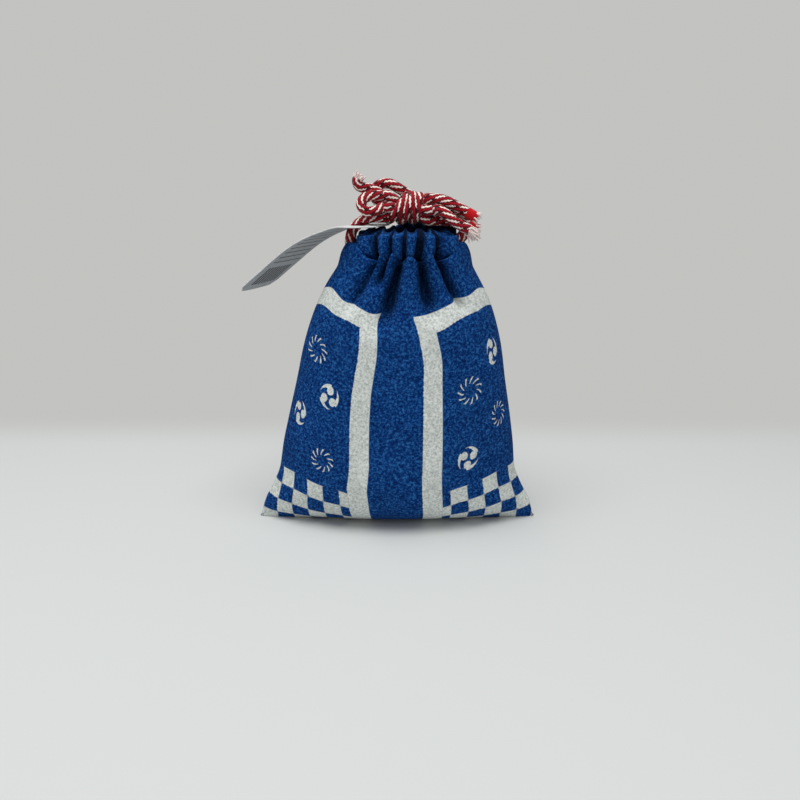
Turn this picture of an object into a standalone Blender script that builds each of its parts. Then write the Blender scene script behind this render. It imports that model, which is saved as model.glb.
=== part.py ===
"""A small Japanese drawstring pouch (kinchaku), gathered shut and tied with a bow.

Metres, +Z up. The pouch stands on its flattened bottom with its front towards -Y.
The origin is the middle of the base. Two cloth panels make the bag. Each panel's top
edge is turned down into a casing, and the two casings hold two drawcords, which leave
through the openings left in the side seams. The four cord legs meet in a knot with
bow loops and tails, and a paper tag is threaded on the two left legs.
"""

import math

import bmesh
import bpy
from mathutils import Matrix, Vector

# Cloth bag
BASE_WIDTH = 0.1078        # ear to ear along the bottom seam
FLOOR_DEPTH = 0.0200       # front to back, what lies flat under the bag
BELLY_DEPTH = 0.0408       # front to back at the fullest level
STITCH_HEIGHT = 0.1017     # up to the line of stitching under the casings
CLOTH = 0.0009             # crepe with its turnings
LEAN = 0.0039              # how far the neck stands to the right of the base
GATHER_DEPTH = 0.0034      # deepest valley between two gathers
PLEATS = 6                 # gathers on each panel

# Casings round the neck
NECK_WIDTH = 0.0328        # side to side along the middle of the casings
NECK_DEPTH = 0.0206        # front to back along the middle of the casings
SLIT_WIDTH = 0.0092        # opening in each side, between the casings' ends
PLEAT_SWELL = 0.0020       # how far a gather swells past the cord tunnel
RIM_REACH = 0.0073         # how far the side rims stand out past the casings' seam
RIM_RISE = 0.0048          # how far the side rims rise past the stitching

# Cords
CORD = 0.0039              # diameter of the drawcord
CORD_PLAY = 0.0002         # room round a cord in its tunnel
LEG_STANDOFF = 0.0044      # from the middle of the casing out to the cord legs
BOW_HEIGHT = 0.1193        # height of the knot's middle
KNOT_TURNS = 1.6           # turns of cord round the middle of the bow
KNOT_CORE = 0.0041         # thickness of the strands that the knot squeezes
KNOT_LENGTH = 0.0136       # length of the squeezed strands
KNOT_SLANT = 0.0011        # how much lower the strands leave the knot at its right end
FRAY_LENGTH = 0.0038       # loosened strands past the end of a tail
FRAY_WIDTH = 0.0052        # across their loose ends

# Seam allowances inside the bag
SEAM_ALLOWANCE = 0.0055    # from a seam to the cloth's cut edge
SEAM_THICKNESS = 0.0011    # two layers of cloth pressed together

# Paper tag
TAG_LENGTH = 0.0610
TAG_WIDTH = 0.0260
TAG_THICKNESS = 0.0004
TAG_HOLE = 0.0104
TAG_HOLE_MARGIN = 0.0084   # from the tag's inner end to the middle of its hole
TAG_CORNER = 0.0030        # clipped off each corner
TAG_FLAT = 0.0058          # from the middle of the hole to where it starts to bend
TAG_PLACE = -0.0172        # its hole, to the right of the neck's middle
TAG_HEADING_DEG = 158.0    # where it points, seen from above
TAG_DROOP_DEG = 37.0       # slope of its outer part
TAG_BEND = 0.0120          # length over which it bends down
TAG_LIFT = 0.0004          # above the casings' top edge

GAP = 0.0003               # between pieces that touch
OVERRUN = 0.0020           # how far a cutter passes what it cuts
ROUTE_STEP = 0.0018        # spacing of the points along a cord

# Shape of the bag, from the floor up: height at the side seams, height at the middle,
# width, depth, lean and gathers, as shares, and how sharply the sides are pinched.
LEVEL_shares = (
    (0.000, 0.000, 1.000, 0.000, 0.00, 0.00, 1.70),
    (0.000, 0.000, 0.999, FLOOR_DEPTH / BELLY_DEPTH, 0.00, 0.00, 1.70),
    (0.034, 0.018, 0.986, 0.735, 0.00, 0.00, 1.60),
    (0.080, 0.066, 0.958, 0.900, 0.00, 0.00, 1.45),
    (0.140, 0.134, 0.900, 0.980, 0.00, 0.00, 1.32),
    (0.210, 0.207, 0.848, 1.000, 0.02, 0.00, 1.22),
    (0.300, 0.300, 0.826, 1.000, 0.10, 0.00, 1.14),
    (0.415, 0.415, 0.786, 0.990, 0.24, 0.00, 1.07),
    (0.550, 0.550, 0.734, 0.970, 0.38, 0.10, 1.02),
    (0.685, 0.685, 0.686, 0.940, 0.52, 0.32, 1.00),
    (0.800, 0.800, 0.622, 0.895, 0.62, 0.64, 1.00),
    (0.895, 0.895, 0.545, 0.855, 0.72, 0.90, 1.00),
    (0.962, 0.962, 0.477, 0.835, 0.90, 1.00, 1.00),
)

SEAM_START_ROW = 4         # row of the shares above from which the side seams stand in the bag

# Places along the cords beyond the knot, in metres from the middle of the neck:
# to the right, back, and up from the knot's middle.
LEG_LEFT = (
    (-0.0200, 0.0022, -0.0076),
    (-0.0172, 0.0022, -0.0048),
    (-0.0134, 0.0022, -0.0031),
)
LEG_RIGHT = (
    (0.0188, 0.0022, -0.0049),
    (0.0156, 0.0022, -0.0044),
    (0.0124, 0.0022, -0.0041),
)
LOOP_LEFT = (
    (-0.0114, -0.0056, -0.0006),
    (-0.0145, -0.0064, -0.0007),
    (-0.0165, -0.0060, 0.0014),
    (-0.0156, -0.0050, 0.0037),
    (-0.0128, -0.0038, 0.0047),
)
LOOP_UPPER = (
    (-0.0110, 0.0062, 0.0022),
    (-0.0124, 0.0073, 0.0046),
    (-0.0118, 0.0073, 0.0070),
    (-0.0096, 0.0066, 0.0085),
    (-0.0068, 0.0058, 0.0087),
    (-0.0042, 0.0056, 0.0075),
    (-0.0016, 0.0063, 0.0059),
    (0.0006, 0.0073, 0.0044),
    (0.0026, 0.0081, 0.0026),
)
LOOP_RIGHT = (
    (0.0126, 0.0004, -0.0001),
    (0.0168, 0.0005, -0.0006),
    (0.0196, 0.0011, -0.0009),
    (0.0209, 0.0030, -0.0010),
    (0.0194, 0.0049, -0.0004),
    (0.0164, 0.0049, 0.0008),
    (0.0130, 0.0042, 0.0024),
)
TAIL_LEFT = (
    (-0.0112, 0.0030, 0.0059),
    (-0.0136, 0.0032, 0.0069),
    (-0.0159, 0.0031, 0.0072),
    (-0.0176, 0.0029, 0.0079),
    (-0.0183, 0.0027, 0.0095),
    (-0.0180, 0.0026, 0.0106),
)
TAIL_UPPER = (
    (0.0122, -0.0026, 0.0032),
    (0.0154, -0.0034, 0.0020),
    (0.0186, -0.0042, 0.0002),
    (0.0216, -0.0046, -0.0014),
)
TAIL_LOWER = (
    (0.0110, -0.0055, -0.0002),
    (0.0130, -0.0072, -0.0013),
    (0.0154, -0.0082, -0.0032),
    (0.0186, -0.0082, -0.0054),
    (0.0220, -0.0078, -0.0072),
)
TAIL_HANGING = (
    (0.0110, 0.0056, -0.0009),
    (0.0132, 0.0070, -0.0020),
    (0.0164, 0.0075, -0.0035),
    (0.0200, 0.0070, -0.0048),
    (0.0234, 0.0062, -0.0062),
)

# Where the cords meet the fanned strands at the knot's ends: back and up from its middle.
LEG_SPOT = (0.0022, -0.0030)
LOW_SPOT = (0.0000, 0.0010)
SIDE_SPOT = (0.0044, 0.0007)
HIGH_SPOT = (0.0022, 0.0046)

# Worked out from the sizes above
HALF_GAP = GAP / 2
CORD_RADIUS = CORD / 2
TUNNEL_WIDTH = CORD + 2 * GAP
TUNNEL_HEIGHT = 2 * CORD + GAP + 2 * CORD_PLAY + 2 * GAP
CASING_HEIGHT = TUNNEL_HEIGHT + 2 * CLOTH
CASING_BOTTOM = STITCH_HEIGHT + GAP
CASING_MIDDLE = CASING_BOTTOM + CASING_HEIGHT / 2
CASING_TOP = CASING_BOTTOM + CASING_HEIGHT
CORD_LEVEL = (CORD + GAP + CORD_PLAY) / 2
WALL_OFFSET = TUNNEL_WIDTH / 2 + CLOTH
CASING_END = math.acos(SLIT_WIDTH / NECK_DEPTH)
RIM_START = math.radians(30)
RIM_END = math.radians(68)
RISE_START = math.radians(57)
RISE_END = math.radians(78)
FRONT = -1
BACK = 1
LEFT = -1
RIGHT = 1
LOWER = -1
UPPER = 1
RUN_PLACES = 20
COLUMNS_PER_PLEAT = 6
SIDE_COLUMNS = 5
SECTION_POINTS = 10
SECTION_SQUARENESS = 0.6
CURVE_STEPS = 24
TUBE_STEPS = 2
CORE_SIDES = 60
WRAP_STEPS = 14
FRAY_SIDES = 12
HOLE_SIDES = 28
TAG_STEPS = 16
SHARP_ANGLE = math.radians(40)


def clear_scene():
    """Start from an empty scene."""
    for item in list(bpy.data.objects):
        bpy.data.objects.remove(item, do_unlink=True)


def make_material(name, colour, roughness):
    """A plain Principled material."""
    material = bpy.data.materials.new(name)
    material.use_nodes = True
    shader = material.node_tree.nodes["Principled BSDF"]
    shader.inputs["Base Color"].default_value = (*colour, 1.0)
    shader.inputs["Roughness"].default_value = roughness
    shader.inputs["Metallic"].default_value = 0.0
    return material


def add_mesh_object(name, bm, material):
    """Turn a bmesh into a smooth-shaded object with one material."""
    bmesh.ops.recalc_face_normals(bm, faces=bm.faces)
    mesh = bpy.data.meshes.new(name)
    bm.to_mesh(mesh)
    bm.free()
    mesh.shade_smooth()
    mesh.set_sharp_from_angle(angle=SHARP_ANGLE)
    mesh.materials.append(material)
    item = bpy.data.objects.new(name, mesh)
    bpy.context.scene.collection.objects.link(item)
    return item


def smoothstep(low, high, value):
    """0 below low, 1 above high, and a smooth rise between them."""
    share = min(max((value - low) / (high - low), 0.0), 1.0)
    return share * share * (3 - 2 * share)


def signed_power(value, power):
    """Power that keeps the sign, for squared-off ovals."""
    return math.copysign(abs(value) ** power, value)


def crest(angle):
    """1 on the crest of a gather, 0 in the valleys and beyond the casing's ends."""
    if abs(angle) >= CASING_END:
        return 0.0
    return (1 - math.cos(PLEATS * math.pi * angle / CASING_END)) / 2


def neck_point(angle, side, offset=0.0):
    """A place on the casings' middle line seen from above, moved outwards by offset."""
    half_width = NECK_WIDTH / 2
    half_depth = NECK_DEPTH / 2
    middle = Vector((LEAN + half_width * math.sin(angle), side * half_depth * math.cos(angle), 0.0))
    outwards = Vector((math.sin(angle) / half_width, side * math.cos(angle) / half_depth, 0.0))
    return middle + outwards.normalized() * offset


def panel_point(angle, level, side):
    """A place on the outer face of a panel, at one level of the bag."""
    seam_height, middle_height, width, depth, lean, gathers, pinch = LEVEL_shares[level]
    half_width = width * BASE_WIDTH / 2
    half_depth = depth * BELLY_DEPTH / 2
    fullness = max(math.cos(angle), 0.0) ** pinch
    height = STITCH_HEIGHT * (seam_height + (middle_height - seam_height) * fullness)
    place = Vector((lean * LEAN + half_width * math.sin(angle), side * half_depth * fullness, height))
    inwards = -Vector((math.sin(angle) * half_depth, side * math.cos(angle) * half_width, 0.0))
    if gathers > 0:
        valley = 1 - crest(angle)
        taper = 1 - smoothstep(CASING_END, math.pi / 2, abs(angle))
        place += inwards.normalized() * GATHER_DEPTH * gathers * valley * taper
    place.y += side * HALF_GAP
    return place


def rim_point(angle, side):
    """A place on the panel's top edge, under the casing and round the side opening."""
    turn = abs(angle)
    middle = PLEAT_SWELL * (crest(angle) - 1 / 2)
    offset = middle + CLOTH + RIM_REACH * smoothstep(RIM_START, RIM_END, turn)
    place = neck_point(angle, side, offset)
    place.z = STITCH_HEIGHT + RIM_RISE * smoothstep(RISE_START, RISE_END, turn)
    place.y += side * HALF_GAP
    return place


def panel_angles():
    """Angles of the panel's columns, closest together along the gathers."""
    inner = PLEATS * COLUMNS_PER_PLEAT
    middle = [CASING_END * (2 * step / inner - 1) for step in range(inner + 1)]
    slit = (math.pi / 2 - CASING_END) / SIDE_COLUMNS
    outer = [CASING_END + slit * step for step in range(1, SIDE_COLUMNS + 1)]
    return [-angle for angle in reversed(outer)] + middle + outer


def build_panel(name, side, material):
    """One side of the bag, a shell with the gathers let into its neck."""
    angles = panel_angles()
    rows = [[panel_point(angle, level, side) for angle in angles] for level in range(len(LEVEL_shares))]
    rows.append([rim_point(angle, side) for angle in angles])
    last_row = len(rows) - 1
    last_column = len(angles) - 1
    bm = bmesh.new()
    outer = [[bm.verts.new(place) for place in row] for row in rows]
    inner = []
    for r, row in enumerate(rows):
        inner_row = []
        for c, place in enumerate(row):
            along = rows[r][min(c + 1, last_column)] - rows[r][max(c - 1, 0)]
            up = rows[min(r + 1, last_row)][c] - rows[max(r - 1, 0)][c]
            if r == 0:
                normal = Vector((0.0, 0.0, -1.0))
            else:
                normal = (along.cross(up) * -side).normalized()
            inside = place - normal * CLOTH
            inside.z = max(inside.z, CLOTH)
            if side * inside.y < HALF_GAP:
                inside.y = side * HALF_GAP
            inner_row.append(bm.verts.new(inside))
        inner.append(inner_row)
    for r in range(last_row):
        for c in range(last_column):
            bm.faces.new((outer[r][c], outer[r][c + 1], outer[r + 1][c + 1], outer[r + 1][c]))
            bm.faces.new((inner[r][c], inner[r + 1][c], inner[r + 1][c + 1], inner[r][c + 1]))
    for r in (0, last_row):
        for c in range(last_column):
            bm.faces.new((outer[r][c], inner[r][c], inner[r][c + 1], outer[r][c + 1]))
    for c in (0, last_column):
        for r in range(last_row):
            bm.faces.new((outer[r][c], outer[r + 1][c], inner[r + 1][c], inner[r][c]))
    return add_mesh_object(name, bm, material)


def casing_loop(angle, side, shrink):
    """One loop round the casing's cross-section, outside with no shrink, bore with the cloth's."""
    outwards = WALL_OFFSET + PLEAT_SWELL * crest(angle) - shrink
    inwards = WALL_OFFSET + PLEAT_SWELL * (1 - crest(angle)) - shrink
    if abs(angle) >= CASING_END:
        inwards = WALL_OFFSET - shrink
    half_height = CASING_HEIGHT / 2 - shrink
    places = []
    for step in range(SECTION_POINTS):
        turn = 2 * math.pi * step / SECTION_POINTS
        reach = signed_power(math.cos(turn), SECTION_SQUARENESS)
        offset = (outwards - inwards) / 2 + (outwards + inwards) / 2 * reach
        place = neck_point(angle, side, offset)
        place.z = CASING_MIDDLE + half_height * signed_power(math.sin(turn), SECTION_SQUARENESS)
        places.append(place)
    return places


def build_casing(name, side, material):
    """The turned-down top edge of a panel, a gathered tunnel for the cords, open at both ends."""
    stations = PLEATS * COLUMNS_PER_PLEAT
    angles = [CASING_END * (2 * step / stations - 1) for step in range(stations + 1)]
    bm = bmesh.new()
    walls = [[bm.verts.new(place) for place in casing_loop(angle, side, 0.0)] for angle in angles]
    bores = [[bm.verts.new(place) for place in casing_loop(angle, side, CLOTH)] for angle in angles]
    for i in range(stations):
        for j in range(SECTION_POINTS):
            k = (j + 1) % SECTION_POINTS
            bm.faces.new((walls[i][j], walls[i][k], walls[i + 1][k], walls[i + 1][j]))
            bm.faces.new((bores[i][j], bores[i + 1][j], bores[i + 1][k], bores[i][k]))
    for i in (0, stations):
        for j in range(SECTION_POINTS):
            k = (j + 1) % SECTION_POINTS
            bm.faces.new((walls[i][j], bores[i][j], bores[i][k], walls[i][k]))
    return add_mesh_object(name, bm, material)


def extrude_outline(name, outline, material):
    """A flat strip of seam allowance in the plane of the seams, from its outline in X and Z."""
    bm = bmesh.new()
    half = SEAM_THICKNESS / 2
    face = bm.faces.new([bm.verts.new((x, -half, z)) for x, z in outline])
    result = bmesh.ops.extrude_face_region(bm, geom=[face])
    moved = [element for element in result["geom"] if isinstance(element, bmesh.types.BMVert)]
    bmesh.ops.translate(bm, verts=moved, vec=(0.0, SEAM_THICKNESS, 0.0))
    return add_mesh_object(name, bm, material)


def build_side_seam(name, hand, material):
    """The turnings of a side seam, standing into the bag up to the side opening."""
    inset = CLOTH + GAP + HALF_GAP
    outer = []
    inner = []
    for seam_height, _, width, _, lean, _, _ in LEVEL_shares[SEAM_START_ROW:]:
        edge = width * BASE_WIDTH / 2 - inset
        outer.append((lean * LEAN + hand * edge, seam_height * STITCH_HEIGHT))
        inner.append((lean * LEAN + hand * (edge - SEAM_ALLOWANCE), seam_height * STITCH_HEIGHT))
    return extrude_outline(name, outer + inner[::-1], material)


def build_bottom_seam(name, material):
    """The turnings of the bottom seam, standing on the floor of the bag."""
    _, _, width, _, _, _, _ = LEVEL_shares[SEAM_START_ROW]
    reach = width * BASE_WIDTH / 2 - SEAM_ALLOWANCE
    low = CLOTH + GAP
    high = low + SEAM_ALLOWANCE
    outline = ((-reach, low), (reach, low), (reach - SEAM_ALLOWANCE, high), (SEAM_ALLOWANCE - reach, high))
    return extrude_outline(name, outline, material)


def smooth_route(points):
    """Evenly spaced points on a smooth curve through a route's own points."""
    points = [Vector(point) for point in points]
    ends = [2 * points[0] - points[1]] + points + [2 * points[-1] - points[-2]]
    fine = []
    for before, start, finish, after in zip(ends, ends[1:], ends[2:], ends[3:]):
        for step in range(CURVE_STEPS):
            t = step / CURVE_STEPS
            a = 2 * start
            b = (finish - before) * t
            c = (2 * before - 5 * start + 4 * finish - after) * t ** 2
            d = (3 * start - before - 3 * finish + after) * t ** 3
            fine.append((a + b + c + d) / 2)
    fine.append(points[-1])
    lengths = [0.0]
    for first, second in zip(fine, fine[1:]):
        lengths.append(lengths[-1] + (second - first).length)
    count = max(2, round(lengths[-1] / ROUTE_STEP))
    route = []
    index = 0
    for step in range(count + 1):
        target = lengths[-1] * step / count
        while index < len(fine) - 2 and lengths[index + 1] < target:
            index += 1
        share = (target - lengths[index]) / (lengths[index + 1] - lengths[index])
        route.append(fine[index].lerp(fine[index + 1], share))
    return route


def build_tube(name, route, material):
    """A length of drawcord along a route, with flat ends."""
    curve = bpy.data.curves.new(name, "CURVE")
    curve.dimensions = "3D"
    curve.bevel_depth = CORD_RADIUS
    curve.bevel_resolution = TUBE_STEPS
    curve.use_fill_caps = True
    spline = curve.splines.new("POLY")
    spline.points.add(len(route) - 1)
    for point, place in zip(spline.points, route):
        point.co = (*place, 1.0)
    curve.materials.append(material)
    item = bpy.data.objects.new(name, curve)
    bpy.context.scene.collection.objects.link(item)
    return item


def from_neck(place):
    """A place given from the middle of the neck and the knot's height, in the scene."""
    return Vector((LEAN + place[0], place[1], BOW_HEIGHT + place[2]))


def leave_knot(hand, side, spot):
    """The first places of a cord that leaves one end of the knot, square to its face."""
    across, up = spot
    if hand == RIGHT:
        up -= KNOT_SLANT
    face = KNOT_LENGTH / 2 + GAP
    return [from_neck((hand * reach, side * across, up)) for reach in (face, face + CORD_RADIUS)]


def build_drawcord(name, hand, level, leg, material):
    """A whole drawcord: down its back leg, round the neck in both casings, and up its front."""
    half_width = NECK_WIDTH / 2
    half_depth = NECK_DEPTH / 2
    height = CASING_MIDDLE + level * CORD_LEVEL
    spread = LEG_SPOT[0]
    back_leg = leave_knot(hand, 1, LEG_SPOT) + [from_neck(place) for place in reversed(leg)]
    back_leg += [
        Vector((LEAN + hand * (half_width + LEG_STANDOFF), spread, height + CORD)),
        Vector((LEAN + hand * (half_width + LEG_STANDOFF - GAP), spread, height + CORD_RADIUS)),
        Vector((LEAN + hand * (half_width + CORD_RADIUS), spread, height)),
    ]
    front_leg = [Vector((place.x, -place.y, place.z)) for place in reversed(back_leg)]
    mouth = math.pi / 2 - CASING_END
    sweep = 2 * (math.pi - mouth)
    run = []
    for step in range(RUN_PLACES + 1):
        turn = mouth + sweep * step / RUN_PLACES
        run.append(Vector((LEAN + hand * half_width * math.cos(turn), half_depth * math.sin(turn), height)))
    return build_tube(name, smooth_route(back_leg + run + front_leg), material)


def lobed_radius(turn, spots):
    """How far the cords that meet at one end of the knot reach out in one direction."""
    across = math.cos(turn)
    up = math.sin(turn)
    radius = KNOT_CORE / 2
    for spot_across, spot_up in spots:
        along = spot_across * across + spot_up * up
        beside = spot_across * up - spot_up * across
        if along > 0 and abs(beside) < CORD_RADIUS:
            radius = max(radius, along + math.sqrt(CORD_RADIUS ** 2 - beside ** 2))
    return radius


def build_knot_core(material):
    """The strands that the knot squeezes, fanned out at each end to the cords that leave it."""
    waist = (KNOT_TURNS * (CORD + GAP) + CORD) / 2 + GAP
    end = KNOT_LENGTH / 2
    pairs = [LEG_SPOT, SIDE_SPOT, HIGH_SPOT]
    spots = pairs + [(-across, up) for across, up in pairs]
    fan_start = (end + waist) / 2
    profile = ((-end, 1.0), (-fan_start, 1.0), (-waist, 0.0), (waist, 0.0), (fan_start, 1.0), (end, 1.0))
    bm = bmesh.new()
    rings = []
    for along, fan in profile:
        ring = []
        drop = fan * KNOT_SLANT if along > 0 else 0.0
        for step in range(CORE_SIDES):
            turn = 2 * math.pi * step / CORE_SIDES
            radius = KNOT_CORE / 2 + fan * (lobed_radius(turn, spots) - KNOT_CORE / 2)
            place = (along, radius * math.cos(turn), radius * math.sin(turn) - drop)
            ring.append(bm.verts.new(from_neck(place)))
        rings.append(ring)
    for first, second in zip(rings, rings[1:]):
        for step in range(CORE_SIDES):
            after = (step + 1) % CORE_SIDES
            bm.faces.new((first[step], first[after], second[after], second[step]))
    bm.faces.new(rings[0])
    bm.faces.new(rings[-1])
    return add_mesh_object("knot_core", bm, material)


def build_knot_wrap(material):
    """The turns of cord wound round the middle of the bow."""
    steps = round(KNOT_TURNS * WRAP_STEPS)
    radius = KNOT_CORE / 2 + GAP + CORD_RADIUS
    pitch = CORD + GAP
    route = []
    for step in range(steps + 1):
        turn = 2 * math.pi * step / WRAP_STEPS
        along = pitch * (step / WRAP_STEPS - KNOT_TURNS / 2)
        route.append(from_neck((along, -radius * math.sin(turn), radius * math.cos(turn))))
    return build_tube("knot_wrap", route, material)


def build_bow_cord(name, hand, start, places, finish, material):
    """A loop or tail of the bow, from the knot through its own places and perhaps back to the knot."""
    route = leave_knot(hand, *start) + [from_neck(place) for place in places]
    if finish:
        route += reversed(leave_knot(hand, *finish))
    return build_tube(name, smooth_route(route), material)


def build_fray(name, places, material):
    """The loosened strands at the end of a tail."""
    end = from_neck(places[-1])
    direction = (end - from_neck(places[-2])).normalized()
    bm = bmesh.new()
    bmesh.ops.create_cone(
        bm,
        cap_ends=True,
        segments=FRAY_SIDES,
        radius1=CORD_RADIUS,
        radius2=FRAY_WIDTH / 2,
        depth=FRAY_LENGTH,
    )
    middle = end + direction * (GAP + FRAY_LENGTH / 2)
    turn = direction.to_track_quat("Z", "Y").to_matrix().to_4x4()
    bmesh.ops.transform(bm, matrix=Matrix.Translation(middle) @ turn, verts=bm.verts)
    return add_mesh_object(name, bm, material)


def tag_stations():
    """The tag's middle line seen from its side: along, up and slope at each station."""
    inner = -TAG_HOLE_MARGIN
    outer = TAG_LENGTH - TAG_HOLE_MARGIN
    bending = outer - TAG_CORNER - TAG_FLAT
    marks = [inner, inner + TAG_CORNER]
    marks += [TAG_FLAT + bending * step / TAG_STEPS for step in range(TAG_STEPS + 1)]
    marks.append(outer)
    stations = [(marks[0], marks[0], 0.0, 0.0)]
    for before, mark in zip(marks, marks[1:]):
        _, along, up, _ = stations[-1]
        slope = math.radians(TAG_DROOP_DEG) * smoothstep(TAG_FLAT, TAG_FLAT + TAG_BEND, (before + mark) / 2)
        length = mark - before
        stations.append((mark, along + length * math.cos(slope), up - length * math.sin(slope), slope))
    return stations


def build_tag(paper, material):
    """A paper tag with clipped corners and a punched hole, bent down where it leaves the neck."""
    stations = tag_stations()
    bm = bmesh.new()
    rings = []
    for index, (_, along, up, slope) in enumerate(stations):
        half = TAG_WIDTH / 2
        if index in (0, len(stations) - 1):
            half -= TAG_CORNER
        ring = []
        for side, face in ((-1, -1), (1, -1), (1, 1), (-1, 1)):
            lift = face * TAG_THICKNESS / 2
            place = (along + lift * math.sin(slope), side * half, up + lift * math.cos(slope))
            ring.append(bm.verts.new(place))
        rings.append(ring)
    for first, second in zip(rings, rings[1:]):
        for step in range(4):
            after = (step + 1) % 4
            bm.faces.new((first[step], first[after], second[after], second[step]))
    bm.faces.new(rings[0])
    bm.faces.new(rings[-1])
    tag = add_mesh_object("hang_tag", bm, paper)
    punch_mesh = bmesh.new()
    bmesh.ops.create_cone(
        punch_mesh,
        cap_ends=True,
        segments=HOLE_SIDES,
        radius1=TAG_HOLE / 2,
        radius2=TAG_HOLE / 2,
        depth=TAG_THICKNESS + 2 * OVERRUN,
    )
    punch = add_mesh_object("tag_punch", punch_mesh, material)
    punch.hide_render = True
    punch.display_type = "WIRE"
    hole = tag.modifiers.new("punched hole", "BOOLEAN")
    hole.operation = "DIFFERENCE"
    hole.solver = "EXACT"
    hole.object = punch
    place = (LEAN + TAG_PLACE, 0.0, CASING_TOP + TAG_LIFT + TAG_THICKNESS / 2)
    for item in (tag, punch):
        item.location = place
        item.rotation_euler.z = math.radians(TAG_HEADING_DEG)
    return tag


def main():
    clear_scene()
    blue = make_material("blue_crepe", (0.010, 0.085, 0.330), 0.85)
    dark_blue = make_material("blue_crepe_inside", (0.012, 0.060, 0.220), 0.90)
    red = make_material("red_cord", (0.420, 0.010, 0.030), 0.75)
    white = make_material("frayed_white", (0.800, 0.720, 0.660), 0.90)
    paper = make_material("tag_paper", (0.700, 0.700, 0.690), 0.60)
    build_panel("front_panel", FRONT, blue)
    build_panel("back_panel", BACK, blue)
    build_casing("front_casing", FRONT, blue)
    build_casing("back_casing", BACK, blue)
    build_side_seam("side_seam_left", LEFT, dark_blue)
    build_side_seam("side_seam_right", RIGHT, dark_blue)
    build_bottom_seam("bottom_seam", dark_blue)
    build_drawcord("drawcord_left", LEFT, LOWER, LEG_LEFT, red)
    build_drawcord("drawcord_right", RIGHT, UPPER, LEG_RIGHT, red)
    build_knot_core(red)
    build_knot_wrap(red)
    build_bow_cord("bow_loop_left", LEFT, (FRONT, SIDE_SPOT), LOOP_LEFT, (FRONT, HIGH_SPOT), red)
    build_bow_cord("bow_loop_upper", LEFT, (BACK, SIDE_SPOT), LOOP_UPPER, None, red)
    build_bow_cord("bow_loop_right", RIGHT, (BACK, LOW_SPOT), LOOP_RIGHT, (BACK, HIGH_SPOT), red)
    build_bow_cord("bow_tail_left", LEFT, (BACK, HIGH_SPOT), TAIL_LEFT, None, red)
    build_bow_cord("bow_tail_upper", RIGHT, (FRONT, HIGH_SPOT), TAIL_UPPER, None, red)
    build_bow_cord("bow_tail_lower", RIGHT, (FRONT, SIDE_SPOT), TAIL_LOWER, None, red)
    build_bow_cord("bow_tail_hanging", RIGHT, (BACK, SIDE_SPOT), TAIL_HANGING, None, red)
    build_fray("fray_left", TAIL_LEFT, white)
    build_fray("fray_upper", TAIL_UPPER, red)
    build_fray("fray_lower", TAIL_LOWER, white)
    build_fray("fray_hanging", TAIL_HANGING, red)
    build_tag(paper, white)


main()
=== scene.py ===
"""Looks of the small drawstring pouch: gathered printed crepe, braided cords in a bow, a paper tag.

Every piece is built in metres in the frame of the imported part, with +Z up and the front towards -Y.
"""

import math

import bmesh
import bpy
import numpy as np
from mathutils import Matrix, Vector


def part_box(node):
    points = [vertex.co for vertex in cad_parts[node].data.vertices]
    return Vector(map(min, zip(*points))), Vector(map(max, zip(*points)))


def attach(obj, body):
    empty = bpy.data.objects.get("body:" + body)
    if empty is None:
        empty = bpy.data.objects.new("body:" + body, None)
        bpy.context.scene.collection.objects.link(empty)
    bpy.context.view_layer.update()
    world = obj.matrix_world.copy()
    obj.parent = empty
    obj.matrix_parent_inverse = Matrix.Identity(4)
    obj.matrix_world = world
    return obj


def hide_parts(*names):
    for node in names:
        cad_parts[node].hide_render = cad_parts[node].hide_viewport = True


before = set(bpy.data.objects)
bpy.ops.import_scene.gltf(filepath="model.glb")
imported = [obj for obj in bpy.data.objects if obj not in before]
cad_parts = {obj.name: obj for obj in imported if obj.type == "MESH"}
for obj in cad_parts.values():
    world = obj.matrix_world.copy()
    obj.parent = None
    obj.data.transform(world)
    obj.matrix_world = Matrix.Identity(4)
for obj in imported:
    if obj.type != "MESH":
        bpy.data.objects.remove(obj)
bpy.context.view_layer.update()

# Sizes read from the frame
PANEL_LOW, PANEL_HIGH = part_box("front_panel")
CASING_LOW, CASING_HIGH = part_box("front_casing")
BACK_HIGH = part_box("back_panel")[1]
HALF_BASE = (PANEL_HIGH.x - PANEL_LOW.x) / 2
HALF_BELLY = (BACK_HIGH.y - PANEL_LOW.y) / 2
STITCH_HEIGHT = CASING_LOW.z
CASING_TOP = CASING_HIGH.z

# Cloth
LEAN = 0.0039              # how far the neck stands to the right of the base
HALF_NECK = 0.0164         # side to side, half, along the middle of the casings
HALF_NECK_DEPTH = 0.0103   # front to back, half, along the middle of the casings
CLOTH = 0.0006
PANEL_FLAT_WIDTH = 0.1078
STITCH_FLAT = 0.1120       # flat distance from the bottom seam up to the stitching
CASING_FLAT = 0.0270       # flat length of a casing, up one side and down the other
UV_SPAN = 0.160            # flat length that the UV map's side stands for

# Cords
CORD = 0.0039
CORD_RADIUS = CORD / 2
BOW_HEIGHT = 0.1193

MM = 0.001
UP = np.array([0.0, 0.0, 1.0])
FRONT = -1
BACK = 1
LEFT = -1
RIGHT = 1


def smoothstep(low, high, value):
    """0 below low, 1 above high, and a smooth rise between them."""
    share = np.clip((value - low) / (high - low), 0.0, 1.0)
    return share * share * (3 - 2 * share)


def window(value, start, full, fading, end):
    """A smooth rise from start to full, and a smooth fall from fading to end."""
    return smoothstep(start, full, value) * (1 - smoothstep(fading, end, value))


def signed_power(value, power):
    """Power that keeps the sign, for squared-off ovals."""
    return np.sign(value) * np.abs(value) ** power


def cubic_weights(t):
    """What counts on a smooth curve of its start, the way there, its finish and the way there."""
    return (1 + 2 * t) * (1 - t) ** 2, t * (1 - t) ** 2, t * t * (3 - 2 * t), t * t * (t - 1)


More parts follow.
